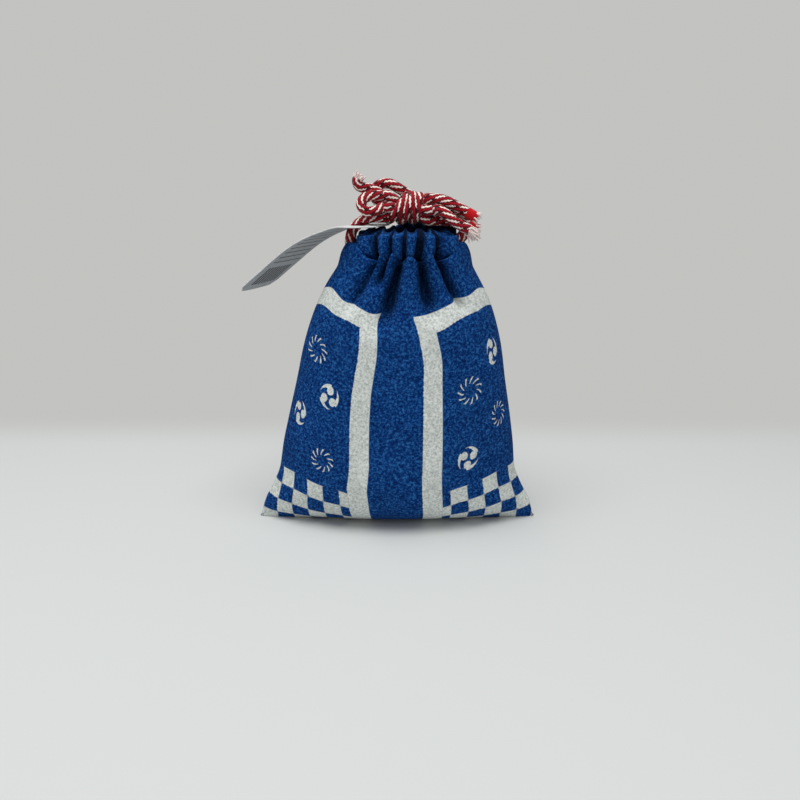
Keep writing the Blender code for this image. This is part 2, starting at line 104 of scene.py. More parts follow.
def monotone(places, values, wanted):
    """Smooth values between table rows, with no overshoot, for every column of the table."""
    slope = np.diff(values, axis=0) / np.diff(places)[:, None]
    product = slope[:-1] * slope[1:]
    total = slope[:-1] + slope[1:]
    inner = np.where(product > 0, 2 * product / np.where(np.abs(total) > 1e-12, total, 1.0), 0.0)
    tangent = np.vstack([slope[:1], inner, slope[-1:]])
    cell = np.clip(np.searchsorted(places, wanted, side="right") - 1, 0, len(places) - 2)
    width = (places[cell + 1] - places[cell])[:, None]
    a, b, c, d = cubic_weights((wanted - places[cell])[:, None] / width)
    bends = b * width * tangent[cell] + d * width * tangent[cell + 1]
    return a * values[cell] + c * values[cell + 1] + bends


def hermite(start, start_way, finish, finish_way, count):
    """Rows of places on a smooth curve from start to finish, without the first."""
    rows = []
    for step in range(1, count + 1):
        a, b, c, d = cubic_weights(step / count)
        rows.append(a * start + b * start_way + c * finish + d * finish_way)
    return rows


def unit(ways):
    """Directions made one long."""
    return ways / np.maximum(np.linalg.norm(ways, axis=-1, keepdims=True), 1e-9)


def lengths_along(rows, axis):
    """Lengths from the first place on, along one way of a grid of places."""
    steps = np.linalg.norm(np.diff(rows, axis=axis), axis=-1)
    return np.insert(np.cumsum(steps, axis=axis), 0, 0.0, axis=axis)


def paired(first, second):
    """One grid of pairs from two grids, each spread to the shape of both."""
    return np.stack(np.broadcast_arrays(first, second), -1)


def corners(grid):
    """The four corners of each cell of a grid, in order round the cell."""
    return np.stack([grid[:-1, :-1], grid[:-1, 1:], grid[1:, 1:], grid[1:, :-1]], axis=2)


def new_object(name, data):
    item = bpy.data.objects.new(name, data)
    bpy.context.scene.collection.objects.link(item)
    return item


def mesh_object(name, places, faces, uv, material):
    """A smooth mesh, with UV coordinates for every corner of its faces."""
    mesh = bpy.data.meshes.new(name)
    mesh.from_pydata(places.tolist(), [], faces)
    layer = mesh.uv_layers.new(name="flat")
    layer.data.foreach_set("uv", uv.reshape(-1).astype(np.float32))
    mesh.shade_smooth()
    mesh.materials.append(material)
    return new_object(name, mesh)


def thicken(item, name, thickness, offset):
    solid = item.modifiers.new(name, "SOLIDIFY")
    solid.thickness = thickness
    solid.offset = offset
    return solid


def cloth_object(name, rows, uv, fold, material, closed_across=0.0):
    """Cloth from rows of places, with its flat pattern as the UV map and how deep each place lies
    in a fold, from 0 to 1, which its material darkens as painted shade."""
    index = np.arange(fold.size).reshape(fold.shape)
    if closed_across:
        index = np.hstack([index, index[:, :1]])
        uv = np.hstack([uv, uv[:, :1] + np.array([0.0, closed_across])])
    faces = corners(index).reshape(-1, 4).tolist()
    item = mesh_object(name, rows.reshape(-1, 3), faces, corners(uv), material)
    # painted shade: how deep each place lies in a fold, for the material to darken
    depth = item.data.attributes.new("fold", "FLOAT", "POINT")
    depth.data.foreach_set("value", fold.reshape(-1).astype(np.float32))
    thicken(item, "cloth thickness", CLOTH, -1.0)
    return item


# Shape of the bag, from the floor up: height at the side seams, height at the middle, width, depth
# and lean, as shares of the bag's sizes, and how sharply the sides are pinched.
LEVEL_SHARES = (
    (0.000, 0.000, 1.000, 0.000, 0.00, 1.70),
    (0.000, 0.000, 0.999, 0.490, 0.00, 1.70),
    (0.034, 0.018, 0.986, 0.735, 0.00, 1.60),
    (0.080, 0.066, 0.958, 0.900, 0.00, 1.45),
    (0.140, 0.134, 0.900, 0.980, 0.00, 1.32),
    (0.210, 0.207, 0.848, 1.000, 0.02, 1.22),
    (0.300, 0.300, 0.826, 1.000, 0.10, 1.14),
    (0.415, 0.415, 0.786, 0.990, 0.24, 1.07),
    (0.550, 0.550, 0.734, 0.970, 0.38, 1.02),
    (0.685, 0.685, 0.686, 0.940, 0.52, 1.00),
    (0.800, 0.800, 0.622, 0.895, 0.62, 1.00),
    (0.895, 0.895, 0.545, 0.855, 0.72, 1.00),
    (0.962, 0.962, 0.477, 0.835, 0.90, 1.00),
)
# Middle height and depth of the front at its four levels above the seam, where it is tucked under
FRONT_LOW = ((0.000, 0.080), (0.026, 0.460), (0.072, 0.760), (0.134, 0.930))
MIDDLE_COLUMN = 1
DEPTH_COLUMN = 3
BODY_LEVELS = len(LEVEL_SHARES) - 1
ROWS_PER_LEVEL = 11
COLUMNS = 321

# Valleys between the gathers of each panel, left to right: angle round the neck at the top and
# where the valley runs out, the height share where it runs out, its depth, and its width in
# degrees.
FRONT_VALLEYS = (
    (-32.0, -40.0, 0.780, 0.0050, 4.0),
    (-22.0, -22.0, 0.880, 0.0060, 3.0),
    (-7.5, -13.5, 0.720, 0.0092, 4.0),
    (13.0, 20.0, 0.760, 0.0088, 4.4),
    (31.0, 47.0, 0.780, 0.0072, 3.6),
)
BACK_VALLEYS = (
    (-38.0, -50.0, 0.790, 0.0060, 4.5),
    (-21.0, -28.0, 0.700, 0.0085, 4.6),
    (-3.0, -4.0, 0.860, 0.0060, 4.0),
    (15.0, 23.0, 0.720, 0.0085, 4.8),
    (35.0, 48.0, 0.800, 0.0065, 4.5),
)
RIM_GAPS = (3.0, 2.0, 4.0, 6.0, 4.0)  # how wide the valleys are at the rims, in degrees
# how far the top of each gather under a casing rises, left to right
FRONT_RISES = (0.0, 0.0026, 0.0019, 0.0008, 0.0018, 0.0)
BACK_RISES = (0.0, 0.0010, 0.0018, 0.0006, 0.0012, 0.0)
# Valleys between the pleats of each casing, left to right, in degrees: angles, widths, and how much
# further to the right each one lies at the top than at the bottom; and how far each pleat dips in
# its middle
FRONT_PLEATS = (
    (-36.4, -18.5, -3.9, 12.9, 33.2),
    (4.5, 1.5, 3.0, 8.0, 4.5),
    (-2.0, 0.0, 1.5, 5.0, 0.0),
    (0.0010, 0.0004, 0.0002, 0.0004, 0.0010, 0.0013),
)
BACK_PLEATS = (
    (-40.0, -20.0, -3.0, 15.0, 36.0),
    (6.0, 4.0, 6.0, 5.0, 7.0),
    (2.0, -1.0, 0.0, 3.0, -2.0),
    (0.0006, 0.0010, 0.0004, 0.0008, 0.0006, 0.0010),
)
PLEAT_FULLNESS = 0.55      # power that fills a pleat's section out

WALL = 0.0027              # from the middle of a casing out to its thin places
SWELL = 0.0036             # how far a gather of a casing swells
RIGHT_DRAW = 0.0013        # how far the right side of the neck is drawn in


def neck_frame(angle, side):
    """Places on the casings' middle line seen from above, and the way outwards there."""
    sine = np.sin(angle)
    cosine = side * np.cos(angle)
    middle = np.stack([LEAN + HALF_NECK * sine, HALF_NECK_DEPTH * cosine, 0 * angle], -1)
    return middle, unit(np.stack([sine / HALF_NECK, cosine / HALF_NECK_DEPTH, 0 * angle], -1))


def pleat_crest(angle, valleys, gaps, end):
    """1 on the crest of each gather, rounding off to 0 in the valleys between, and its number."""
    marks = np.radians([-end, *valleys, end])
    halves = np.radians([0.0, *gaps, 0.0]) / 2
    cell = np.clip(np.searchsorted(marks, angle) - 1, 0, len(marks) - 2)
    start = marks[cell] + halves[cell]
    finish = marks[cell + 1] - halves[cell + 1]
    share = np.clip((angle - start) / (finish - start), 0.0, 1.0)
    return np.sin(np.pi * share), cell


def valley_depth(angle, height, valleys):
    """How far the gathers' valleys let the cloth in, at angles round the bag and height shares."""
    depth = 0 * angle + 0 * height
    for top, low, start, deep, width in valleys:
        rise = np.clip((height - start) / (1 - start), 0.0, 1.0)
        centre = np.radians(low + (top - low) * rise)
        spread = np.radians(width * (1.9 - 0.9 * rise))
        strength = smoothstep(0.0, 0.55, rise)
        depth = depth + deep * strength / (1 + ((angle - centre) / spread) ** 2) ** 1.5
    return depth


def body_rows(side, valleys):
    """Rows of places on the outside of a panel, from the bottom seam up to the last level, the
    angles round the bag, and how deep each place lies in a fold."""
    angle = np.linspace(-np.pi / 2, np.pi / 2, COLUMNS)[None, :]
    levels = np.array(LEVEL_SHARES)
    if side == FRONT:
        levels[1:len(FRONT_LOW) + 1, [MIDDLE_COLUMN, DEPTH_COLUMN]] = FRONT_LOW
    places = np.linspace(0, BODY_LEVELS, BODY_LEVELS * ROWS_PER_LEVEL + 1)
    table = monotone(np.arange(BODY_LEVELS + 1), levels, places)
    seam, middle, width, depth, lean, pinch = table.T[:, :, None]
    fullness = np.clip(np.cos(angle), 0.0, 1.0) ** pinch
    height = seam + (middle - seam) * fullness
    half_width = width * HALF_BASE
    half_depth = depth * HALF_BELLY
    inwards = unit(paired(-np.sin(angle) * half_depth, -side * np.cos(angle) * half_width))
    let_in = valley_depth(angle, height, valleys)
    x = lean * LEAN + half_width * np.sin(angle) + inwards[..., 0] * let_in
    x = x - RIGHT_DRAW * smoothstep(0.84, 1.0, height) * smoothstep(0.6, 0.98, np.sin(angle))
    y = side * half_depth * fullness + inwards[..., 1] * let_in
    # the corners stand up by the cloth's thickness, because both sheets meet there
    corner = CLOTH * smoothstep(0.97, 0.995, np.abs(np.sin(angle)))
    z = np.maximum(height * STITCH_HEIGHT, corner)
    return np.stack([x, y, z], -1), angle[0], smoothstep(0.0010, 0.0075, let_in)


# The shoulder of the bag, where the cloth swells over the stitching
RIM_ROWS = 16
ROLL_ROWS = 12
RIM_REACH = 0.0036         # how far the side rims stand out past the thin places
INNER_REACH = 0.0020       # the same on the inside of the rims
INNER_WALL = WALL - 0.0007  # from the middle of a casing out to the rims' inner edge
INNER_LOW = 0.0012         # how far that edge lies below the stitching
EAR_INNER = 0.0034         # and how much further below the rim it lies on the ears
RIM_LOW = -0.0010          # from the stitching up to the rim in a valley
GATHER_RISE = 0.0018       # how much higher the rim is on a gather
SIDE_RISE = 0.0014         # and at the sides
EAR_RISE = 0.0054          # and on the ears at the side openings, past that
ROLL = 0.0030              # how wide the rim rolls over
CASING_END = 66.0          # angle round the neck where the casings end
RIM_END = 78.0             # and where the rims' gathers do


def shoulder_rows(body, angle, side, valleys, rises):
    """Rows that carry a panel up over its rim and down to the stitching under the casing, and how
    deep each place lies in a fold."""
    middle, outwards = neck_frame(angle, side)
    tops = [valley[0] for valley in valleys]
    round_crest, gather = pleat_crest(angle, tops, RIM_GAPS, RIM_END)
    crest = round_crest ** PLEAT_FULLNESS
    peak = (np.array(rises)[gather] * crest ** 3)[:, None]
    crest = crest[:, None]
    turn = np.degrees(np.abs(angle))[:, None]
    aside = smoothstep(34, 60, turn)
    far = smoothstep(42, 60, turn)
    slit = smoothstep(70, 88, turn)
    side_reach = RIM_REACH - RIGHT_DRAW * (angle > 0)[:, None]
    reach = WALL + SWELL * crest * (1 - aside) + side_reach * aside
    rise = RIM_LOW + (GATHER_RISE * crest + peak) * (1 - aside) + SIDE_RISE * aside
    rise = rise + EAR_RISE * far * (1 - 0.45 * slit)
    rim = middle + outwards * reach + UP * (STITCH_HEIGHT + rise)
    inner_height = STITCH_HEIGHT - INNER_LOW + (rise - EAR_INNER) * far
    inner = middle + outwards * (INNER_WALL + INNER_REACH * far) + UP * inner_height
    body_way = (body[-1] - body[-3]) / 2 * RIM_ROWS * 0.55
    rows = hermite(body[-1], body_way, rim, -outwards * ROLL * (1 + aside), RIM_ROWS)
    rows += hermite(rim, -outwards * ROLL, inner, -UP * ROLL, ROLL_ROWS)
    share = np.clip(np.arange(1, len(rows) + 1) / RIM_ROWS, 0.0, 1.0)[:, None]
    return np.array(rows), (1 - crest[:, 0]) * (1 - aside[:, 0]) * share


def eased(lengths, reach):
    """Lengths averaged with those beside them, so that the gathers don't bend the print."""
    padded = np.pad(lengths, ((0, 0), (reach, reach)), mode="reflect", reflect_type="odd")
    weight = np.hanning(2 * reach + 3)[1:-1]
    weight /= weight.sum()
    return np.array([np.convolve(row, weight, mode="valid") for row in padded])


# How the front panel sits round the bag. Its left side is drawn round to the front, at heights on
# the flat pattern.
SKEW_HEIGHTS = (0.0, 0.0130, 0.0200, 0.0270, 0.0360, 0.0520, 0.0680, 0.0920)
SKEW = (0.0, 0.0002, 0.0010, 0.0022, 0.0016, 0.0029, 0.0033, 0.0036)
GATHER_SHIFT = 0.0028      # further round, near the gathers
# The left band is pulled back to the right there.
PULL_HEIGHTS = (0.062, 0.072, 0.082)
PULL = (0.0, 0.0010, 0.0027)
# How much lower the print hangs than the cloth's own length says, at heights on the flat pattern
HANG_HEIGHTS = (0.0, 0.0250, 0.0360, 0.0480, 0.0600, 0.0720, 0.0950)
HANG = (0.0019, 0.0019, 0.0022, 0.0013, 0.0012, 0.0007, 0.0007)
SLANT = 0.0006             # how much higher the right side's low print hangs than the middle's
TOP_DROP = 0.0014          # how much lower the stripe's left part hangs


def settled(u, v):
    """Flat pattern places of the front panel, as the cloth has settled round the bag."""
    aside = np.abs(u)
    left = np.clip((0.0150 - u) / 0.0350, 0.0, 1.0)
    gathered = smoothstep(0.072, 0.090, v) * (1 - smoothstep(0.030, 0.054, aside))
    band = window(u, -0.032, -0.024, -0.006, 0.000)
    drawn = np.interp(v, SKEW_HEIGHTS, SKEW) * left + GATHER_SHIFT * gathered
    drawn = drawn - np.interp(v, PULL_HEIGHTS, PULL) * band
    high = smoothstep(0.060, 0.088, v) * (0.0017 - 0.0036 * smoothstep(0.013, 0.030, aside))
    low = window(aside, 0.014, 0.024, 0.038, 0.050) * (1 - smoothstep(0.028, 0.045, v))
    slant = np.clip(u / 0.030, -1.0, 1.0) * (1 - smoothstep(0.030, 0.050, v))
    top = smoothstep(0.086, 0.092, v) * window(u, -0.046, -0.030, -0.020, -0.011)
    hang = np.interp(v, HANG_HEIGHTS, HANG) - SLANT * slant + TOP_DROP * top
    return u + drawn, v + hang + high - 0.0012 * low


def flat_coordinates(rows, stitch_row, side):
    """Flat pattern coordinates of every place, from lengths along the cloth."""
    across = lengths_along(rows, 1)
    u = (across / np.maximum(across[:, -1:], 1e-6) - 0.5) * PANEL_FLAT_WIDTH
    up = eased(lengths_along(rows, 0), COLUMNS // 8)
    v = up / up[stitch_row] * STITCH_FLAT
    if side == FRONT:
        u, v = settled(u, v)
    return paired(u, v)


def uv_of(flat):
    """UV coordinates of flat pattern places: the panel with room all round fills the square."""
    return flat / UV_SPAN + np.array([0.5, 0.0])


PANEL_SHADE = 0.72         # painted shade: how dark the valleys of the panels are, against those of the casings


def build_panel(name, side, valleys, rises, material):
    """One printed panel of the bag."""
    body, angle, body_fold = body_rows(side, valleys)
    shoulder, shoulder_fold = shoulder_rows(body, angle, side, valleys, rises)
    rows = np.concatenate([body, shoulder])
    fold = np.concatenate([body_fold, np.maximum(shoulder_fold, body_fold[-1:])]) * PANEL_SHADE
    flat = flat_coordinates(rows, len(body) + RIM_ROWS - 1, side)
    if side == BACK:
        rows = rows[:, ::-1]
        fold = fold[:, ::-1]
        flat = flat[:, ::-1] * np.array([-1.0, 1.0])
    return cloth_object(name, rows, uv_of(flat), fold, material)


CASING_STATIONS = 331
CASING_SECTION = 44
SECTION_POWER = 0.62       # squares off a casing's section
CASING_SINK = 0.0004       # how far a casing reaches below its stitching
CASING_PINCH = 0.42        # share of its width that the stitching takes away
INNER_SWELL = 0.7          # of a gather's swell, how far its inner side swells
BACK_RISE = 0.0024         # the back casing stands higher
BACK_PRESSED = 0.0002      # but the tag presses its left part down
MOUTH_SHADE = 0.75         # how deep in a fold the inner side of a casing counts as, for its painted shade
SCALLOP = 0.0017           # how far a casing's top edge drops between its gathers
CROWN = 0.0016             # how far it drops at both sides of a gather's crown


def casing_rows(side, pleats):
    """Loops of places round a gathered casing, the stations along it, and how deep in a fold."""
    angle = np.radians(np.linspace(-CASING_END, CASING_END, CASING_STATIONS))
    middle, outwards = neck_frame(angle, side)
    valleys, gaps, leans, dips = pleats
    low = STITCH_HEIGHT - CASING_SINK
    back_rise = 0.0
    if side == BACK:
        free = smoothstep(math.radians(-20), math.radians(-6), angle)
        back_rise = BACK_PRESSED + (BACK_RISE - BACK_PRESSED) * free
    rows = []
    folds = []
    for step in range(CASING_SECTION):
        turn = 2 * np.pi * step / CASING_SECTION
        reach = signed_power(np.cos(turn), SECTION_POWER)
        rise = signed_power(np.sin(turn), SECTION_POWER)
        marks = np.array(valleys) + np.array(leans) * rise / 2
        round_crest, gather = pleat_crest(angle, marks, gaps, CASING_END)
        crest = round_crest ** PLEAT_FULLNESS
        dip = np.array(dips)[gather] * crest ** 3 * (reach > 0)
        pinch = 1 - CASING_PINCH * smoothstep(0.35, 1.0, -rise)
        outer = (WALL + SWELL * crest) * pinch
        inner = (WALL + SWELL * INNER_SWELL * (1 - crest)) * pinch
        offset = (outer - inner) / 2 + (outer + inner) / 2 * reach
        scallop = SCALLOP * (1 - round_crest) * smoothstep(-0.3, 0.6, reach)
        drop = scallop + CROWN * crest * (1 - reach * reach) + dip
        place = middle + outwards * offset[:, None]
        place[:, 2] = (low + CASING_TOP) / 2 + (CASING_TOP - low) / 2 * rise
        place[:, 2] += back_rise * smoothstep(-1.0, 1.0, rise) - drop * smoothstep(0.35, 1.0, rise)
        rows.append(place)
        # the side that faces the gathered mouth is in its shade, too
        mouth = MOUTH_SHADE * smoothstep(-0.2, 0.6, -reach)
        folds.append(np.maximum((1 - crest) ** 1.4, mouth))
    return np.array(rows), angle, np.array(folds)


def build_casing(name, side, pleats, material):
    """The turned-down top edge of a panel, gathered over the cords."""
    rows, angle, fold = casing_rows(side, pleats)
    share = (np.arange(CASING_SECTION) / CASING_SECTION)[:, None]
    u = angle / np.radians(90) * PANEL_FLAT_WIDTH / 2
    flat = paired(u, STITCH_FLAT + CASING_FLAT * share)
    rows, uv, fold = [np.swapaxes(grid, 0, 1)[::side] for grid in (rows, uv_of(flat), fold)]
    return cloth_object(name, rows, uv, fold, material, CASING_FLAT / UV_SPAN)


# The print, in millimetres on the flat pattern
BAND_INNER = 9.7
BAND_OUTER = 16.9
STRIPE_LOW = 86.6
STRIPE_HIGH = 93.4
CHECK = 6.727
CHECK_ROWS = 4
EDGE_SOFT = 0.22
PINWHEEL_RADIUS = 5.4
PETALS = 11
TOMOE_RADIUS = 4.8
# kind, across, up, width, height and turn in degrees
MOTIFS = (
    ("pinwheel", -36.0, 72.7, 12.2, 7.9, 0.0),
    ("tomoe", -26.7, 60.2, 8.9, 8.7, 20.0),
    ("tomoe", -40.6, 49.2, 7.2, 8.2, 60.0),
    ("pinwheel", -28.0, 36.9, 9.6, 9.0, 10.0),
    ("tomoe", 41.8, 71.7, 6.8, 8.7, 40.0),
    ("pinwheel", 28.9, 62.4, 11.1, 9.3, 0.0),
    ("pinwheel", 42.4, 49.4, 7.8, 8.8, 15.0),
    ("tomoe", 27.4, 37.7, 8.7, 9.6, 80.0),
)


class Graph:
    """Short ways to add nodes to a tree."""

    def __init__(self, tree):
        self.tree = tree
        self.shader = tree.nodes.get("Principled BSDF")

    def node(self, kind, *values, **settings):
        """A new shader node, with its first sockets fed."""
        made = self.tree.nodes.new("ShaderNode" + kind)
        for key, value in settings.items():
            setattr(made, key, value)
        for socket, value in zip(made.inputs, values):
            self.link(value, socket)
        return made

    def link(self, value, socket):
        """Feed a socket from another socket, or set it to a plain value."""
        if isinstance(value, bpy.types.NodeSocket):
            self.tree.links.new(value, socket)
        else:
            socket.default_value = value

    def math(self, operation, *values, clamp=False):
        return self.node("Math", *values, operation=operation, use_clamp=clamp).outputs[0]

    def times(self, first, second):
        return self.math("MULTIPLY", first, second)

    def plus(self, first, second):
        return self.math("ADD", first, second)

    def minus(self, first, second):
        return self.math("SUBTRACT", first, second)

    def scaled(self, value, factor, added, clamp=False):
        """A value times a factor, and something added."""
        return self.math("MULTIPLY_ADD", value, factor, added, clamp=clamp)

    def arch(self, value):
        """The sine of half a turn times a value."""
        return self.math("SINE", self.times(value, math.pi))

    def length(self, x, y):
        return self.math("SQRT", self.plus(self.times(x, x), self.times(y, y)))

    def stretched(self, vector, factors):
        return self.node("VectorMath", vector, factors, operation="MULTIPLY").outputs[0]

    def flat_uv(self):
        return self.node("UVMap", uv_map="flat").outputs[0]

    def separate(self, vector):
        """The first two coordinates of a vector."""
        made = self.node("SeparateXYZ", vector)
        return made.outputs[0], made.outputs[1]

    def noise(self, vector, scale, detail=2.0, roughness=0.5):
        made = self.node("TexNoise")
        self.link(vector, made.inputs["Vector"])
        made.inputs["Scale"].default_value = scale
        made.inputs["Detail"].default_value = detail
        made.inputs["Roughness"].default_value = roughness
        return made.outputs["Fac"]

    def flat_noise(self, x, y, scale=1.0, detail=2.0, roughness=0.5):
        """Noise over two values."""
        place = self.node("CombineXYZ", x, y, 0.0).outputs[0]
        return self.noise(place, scale, detail, roughness)

    def spread(self, value, low, high, to_low=0.0, to_high=1.0):
        return self.node("MapRange", value, low, high, to_low, to_high, clamp=True).outputs[0]

    def mix(self, share, first, second):
        made = self.node("Mix", data_type="RGBA")
        self.link(share, made.inputs["Factor"])
        self.link(first, made.inputs["A"])
        self.link(second, made.inputs["B"])
        return made.outputs["Result"]

    def joined(self, operation, values):
        total = values[0]
        for value in values[1:]:
            total = self.math(operation, total, value)
        return total

    def either(self, *values):
        return self.joined("MAXIMUM", values)

    def both(self, *values):
        return self.joined("MINIMUM", values)

    def below(self, value, limit, soft=EDGE_SOFT):
        """1 where a value is less than a limit, with a soft edge."""
        return self.scaled(self.minus(limit, value), 1 / soft, 0.5, clamp=True)

    def inside(self, value, low, high, soft=EDGE_SOFT):
        """1 where a value lies between low and high, with a soft edge."""
        away = self.math("ABSOLUTE", self.minus(value, (low + high) / 2))
        return self.below(away, (high - low) / 2, soft)

    def bump(self, height, strength, distance):
        """A bump node fed by a height."""
        made = self.node("Bump")
        made.inputs["Strength"].default_value = strength
        made.inputs["Distance"].default_value = distance
        self.link(height, made.inputs["Height"])
        return made

    def surface(self, colour, bump):
        """Feed the material's shader its colour and the relief of a bump node."""
        self.link(colour, self.shader.inputs["Base Color"])
        self.link(bump.outputs[0], self.shader.inputs["Normal"])

    def mix_shaders(self, share, first, second, output):
        """Two shaders mixed into the tree's output node."""
        mixed = self.node("MixShader", share, first.outputs[0], second.outputs[0])
        self.link(mixed.outputs[0], self.tree.nodes[output].inputs["Surface"])


def new_material(name, roughness, sheen=0.0, specular=0.08):
    """A material with a Principled shader, and a graph to feed it."""
    material = bpy.data.materials.new(name)
    material.use_nodes = True
    graph = Graph(material.node_tree)
    graph.shader.inputs["Roughness"].default_value = roughness
    graph.shader.inputs["Sheen Weight"].default_value = sheen
    graph.shader.inputs["Specular IOR Level"].default_value = specular
    return material, graph


def motif_group(name, build):
    """A node group that turns a place round a motif's middle into its mask."""
    tree = bpy.data.node_groups.new(name, "ShaderNodeTree")
    for socket in ("Across", "Up"):
        tree.interface.new_socket(socket, in_out="INPUT", socket_type="NodeSocketFloat")
    tree.interface.new_socket("Mask", in_out="OUTPUT", socket_type="NodeSocketFloat")
    graph = Graph(tree)
    entry = tree.nodes.new("NodeGroupInput")
    leave = tree.nodes.new("NodeGroupOutput")
    graph.link(build(graph, entry.outputs[0], entry.outputs[1]), leave.inputs[0])
    return tree


def pinwheel(graph, across, up):
    """A ring of short curved petals."""
    petal_turn = 2 * math.pi / PETALS
    radius = graph.length(across, up)
    twist = graph.scaled(radius, 0.13, graph.math("ARCTAN2", up, across))
    turn = graph.math("FRACT", graph.times(twist, 1 / petal_turn))
    beside = graph.math("ABSOLUTE", graph.minus(turn, 0.5))
    beside = graph.times(graph.times(beside, radius), petal_turn)
    width = graph.spread(radius, PINWHEEL_RADIUS * 0.52, PINWHEEL_RADIUS, 0.14, 0.42)
    ring = graph.inside(radius, PINWHEEL_RADIUS * 0.54, PINWHEEL_RADIUS)
    return graph.both(graph.below(beside, width), ring)


def tomoe(graph, across, up):
    """Three commas that chase each other round a circle."""
    third_turn = 2 * math.pi / 3
    radius = graph.length(across, up)
    angle = graph.math("ARCTAN2", up, across)
    third = graph.math("FRACT", graph.times(angle, 1 / third_turn))
    folded = graph.times(graph.minus(third, 0.5), third_turn)
    head_x = graph.minus(graph.times(radius, graph.math("COSINE", folded)), TOMOE_RADIUS * 0.52)
    head_y = graph.times(radius, graph.math("SINE", folded))
    head = graph.below(graph.length(head_x, head_y), TOMOE_RADIUS * 0.34)
    tail_turn = graph.math("FRACT", graph.plus(third, 0.5))
    inner = graph.spread(tail_turn, 0.0, 0.80, TOMOE_RADIUS * 0.52, TOMOE_RADIUS * 1.06)
    tail = graph.both(graph.below(inner, radius), graph.below(radius, TOMOE_RADIUS))
    return graph.either(head, tail)


def place_motif(graph, tree, radius, u, v, motif):
    """The mask of one motif on the flat pattern."""
    _, across, up, width, height, turn = motif
    x = graph.times(graph.minus(u, across), 2 * radius / width)
    y = graph.times(graph.minus(v, up), 2 * radius / height)
    cosine = math.cos(math.radians(turn))
    sine = math.sin(math.radians(turn))
    made = graph.node("Group", node_tree=tree)
    graph.link(graph.scaled(x, cosine, graph.times(y, sine)), made.inputs[0])
    graph.link(graph.scaled(y, cosine, graph.times(x, -sine)), made.inputs[1])
    return made.outputs[0]


def print_mask(graph, u, v):
    """1 where the cloth is printed white."""
    aside = graph.math("ABSOLUTE", u)
    band = graph.both(graph.inside(aside, BAND_INNER, BAND_OUTER), graph.below(v, STRIPE_HIGH))
    stripe = graph.both(graph.inside(v, STRIPE_LOW, STRIPE_HIGH), graph.below(BAND_INNER, aside))
    column = graph.times(graph.plus(u, PANEL_FLAT_WIDTH / MM / 2), 1 / CHECK)
    row = graph.times(v, 1 / CHECK)
    checks = graph.scaled(graph.times(graph.arch(column), graph.arch(row)), 12.0, 0.5, clamp=True)
    field = graph.both(
        graph.below(v, CHECK_ROWS * CHECK - EDGE_SOFT),
        graph.below(BAND_OUTER, aside),
    )
    masks = [band, stripe, graph.both(checks, field)]
    groups = {
        "pinwheel": (motif_group("pinwheel", pinwheel), PINWHEEL_RADIUS),
        "tomoe": (motif_group("tomoe", tomoe), TOMOE_RADIUS),
    }
    masks += [place_motif(graph, *groups[motif[0]], u, v, motif) for motif in MOTIFS]
    return graph.either(*masks)


FOLD_SHADE = 0.10          # painted shade: of the dyed colour, this much is left at the bottom of a fold
BLUE_DARK = (0.0006, 0.0080, 0.0560, 1.0)
BLUE = (0.0009, 0.0350, 0.1760, 1.0)
BLUE_LIGHT = (0.0290, 0.1500, 0.4050, 1.0)
PRINT_WHITE = (0.7400, 0.7700, 0.7400, 1.0)
PRINT_SHADE = (0.3700, 0.4100, 0.3900, 1.0)


def crepe_material(name, printed):
    """Crinkled crepe, pebbly and mottled, dyed blue with a white print, with painted shade darkening
    its folds.
    """
    material, graph = new_material(name, 0.92)
    u, v = graph.separate(graph.flat_uv())
    inside = graph.node("TexCoord").outputs["Object"]
    place = graph.stretched(inside, (1 / MM, 1 / MM, 1.1 / MM))
    grain = graph.noise(place, 1.05, 2.0, 0.62)
    fine = graph.noise(place, 2.6, 2.0, 0.6)
    cloud = graph.noise(place, 0.06)
    pebble = graph.scaled(fine, 0.45, graph.times(grain, 0.75))
    tone = graph.spread(pebble, 0.42, 0.80)
    deep = graph.mix(graph.spread(tone, 0.0, 0.5), BLUE_DARK, BLUE)
    colour = graph.mix(graph.spread(tone, 0.45, 1.0), deep, BLUE_LIGHT)
    if printed:
        span = UV_SPAN / MM
        u = graph.scaled(u, span, -span / 2)
        v = graph.times(v, span)
        wobble = graph.scaled(grain, 0.5, -0.25)
        mask = print_mask(graph, graph.plus(u, wobble), graph.plus(v, wobble))
        white = graph.mix(graph.spread(tone, 0.0, 0.75), PRINT_SHADE, PRINT_WHITE)
        colour = graph.mix(mask, colour, white)
    # painted shade: the colour darkens with how deep a place lies in a fold, on top of random wear
    fold = graph.node("Attribute", attribute_name="fold").outputs["Fac"]
    wear_and_fold_shade = graph.scaled(graph.spread(cloud, 0.3, 0.7), 0.16, 0.92)
    wear_and_fold_shade = graph.times(wear_and_fold_shade, graph.spread(fold, 0.05, 0.95, 1.0, FOLD_SHADE))
    shade = graph.node("VectorMath", colour, operation="SCALE")
    graph.link(wear_and_fold_shade, shade.inputs["Scale"])
    crumple = graph.noise(graph.stretched(place, (1.0, 1.0, 0.6)), 0.085)
    soft = graph.bump(crumple, 0.45, 0.0016)
    bump = graph.bump(pebble, 0.75, 0.00016)
    graph.link(soft.outputs[0], bump.inputs["Normal"])
    graph.surface(shade.outputs[0], bump)
    return material


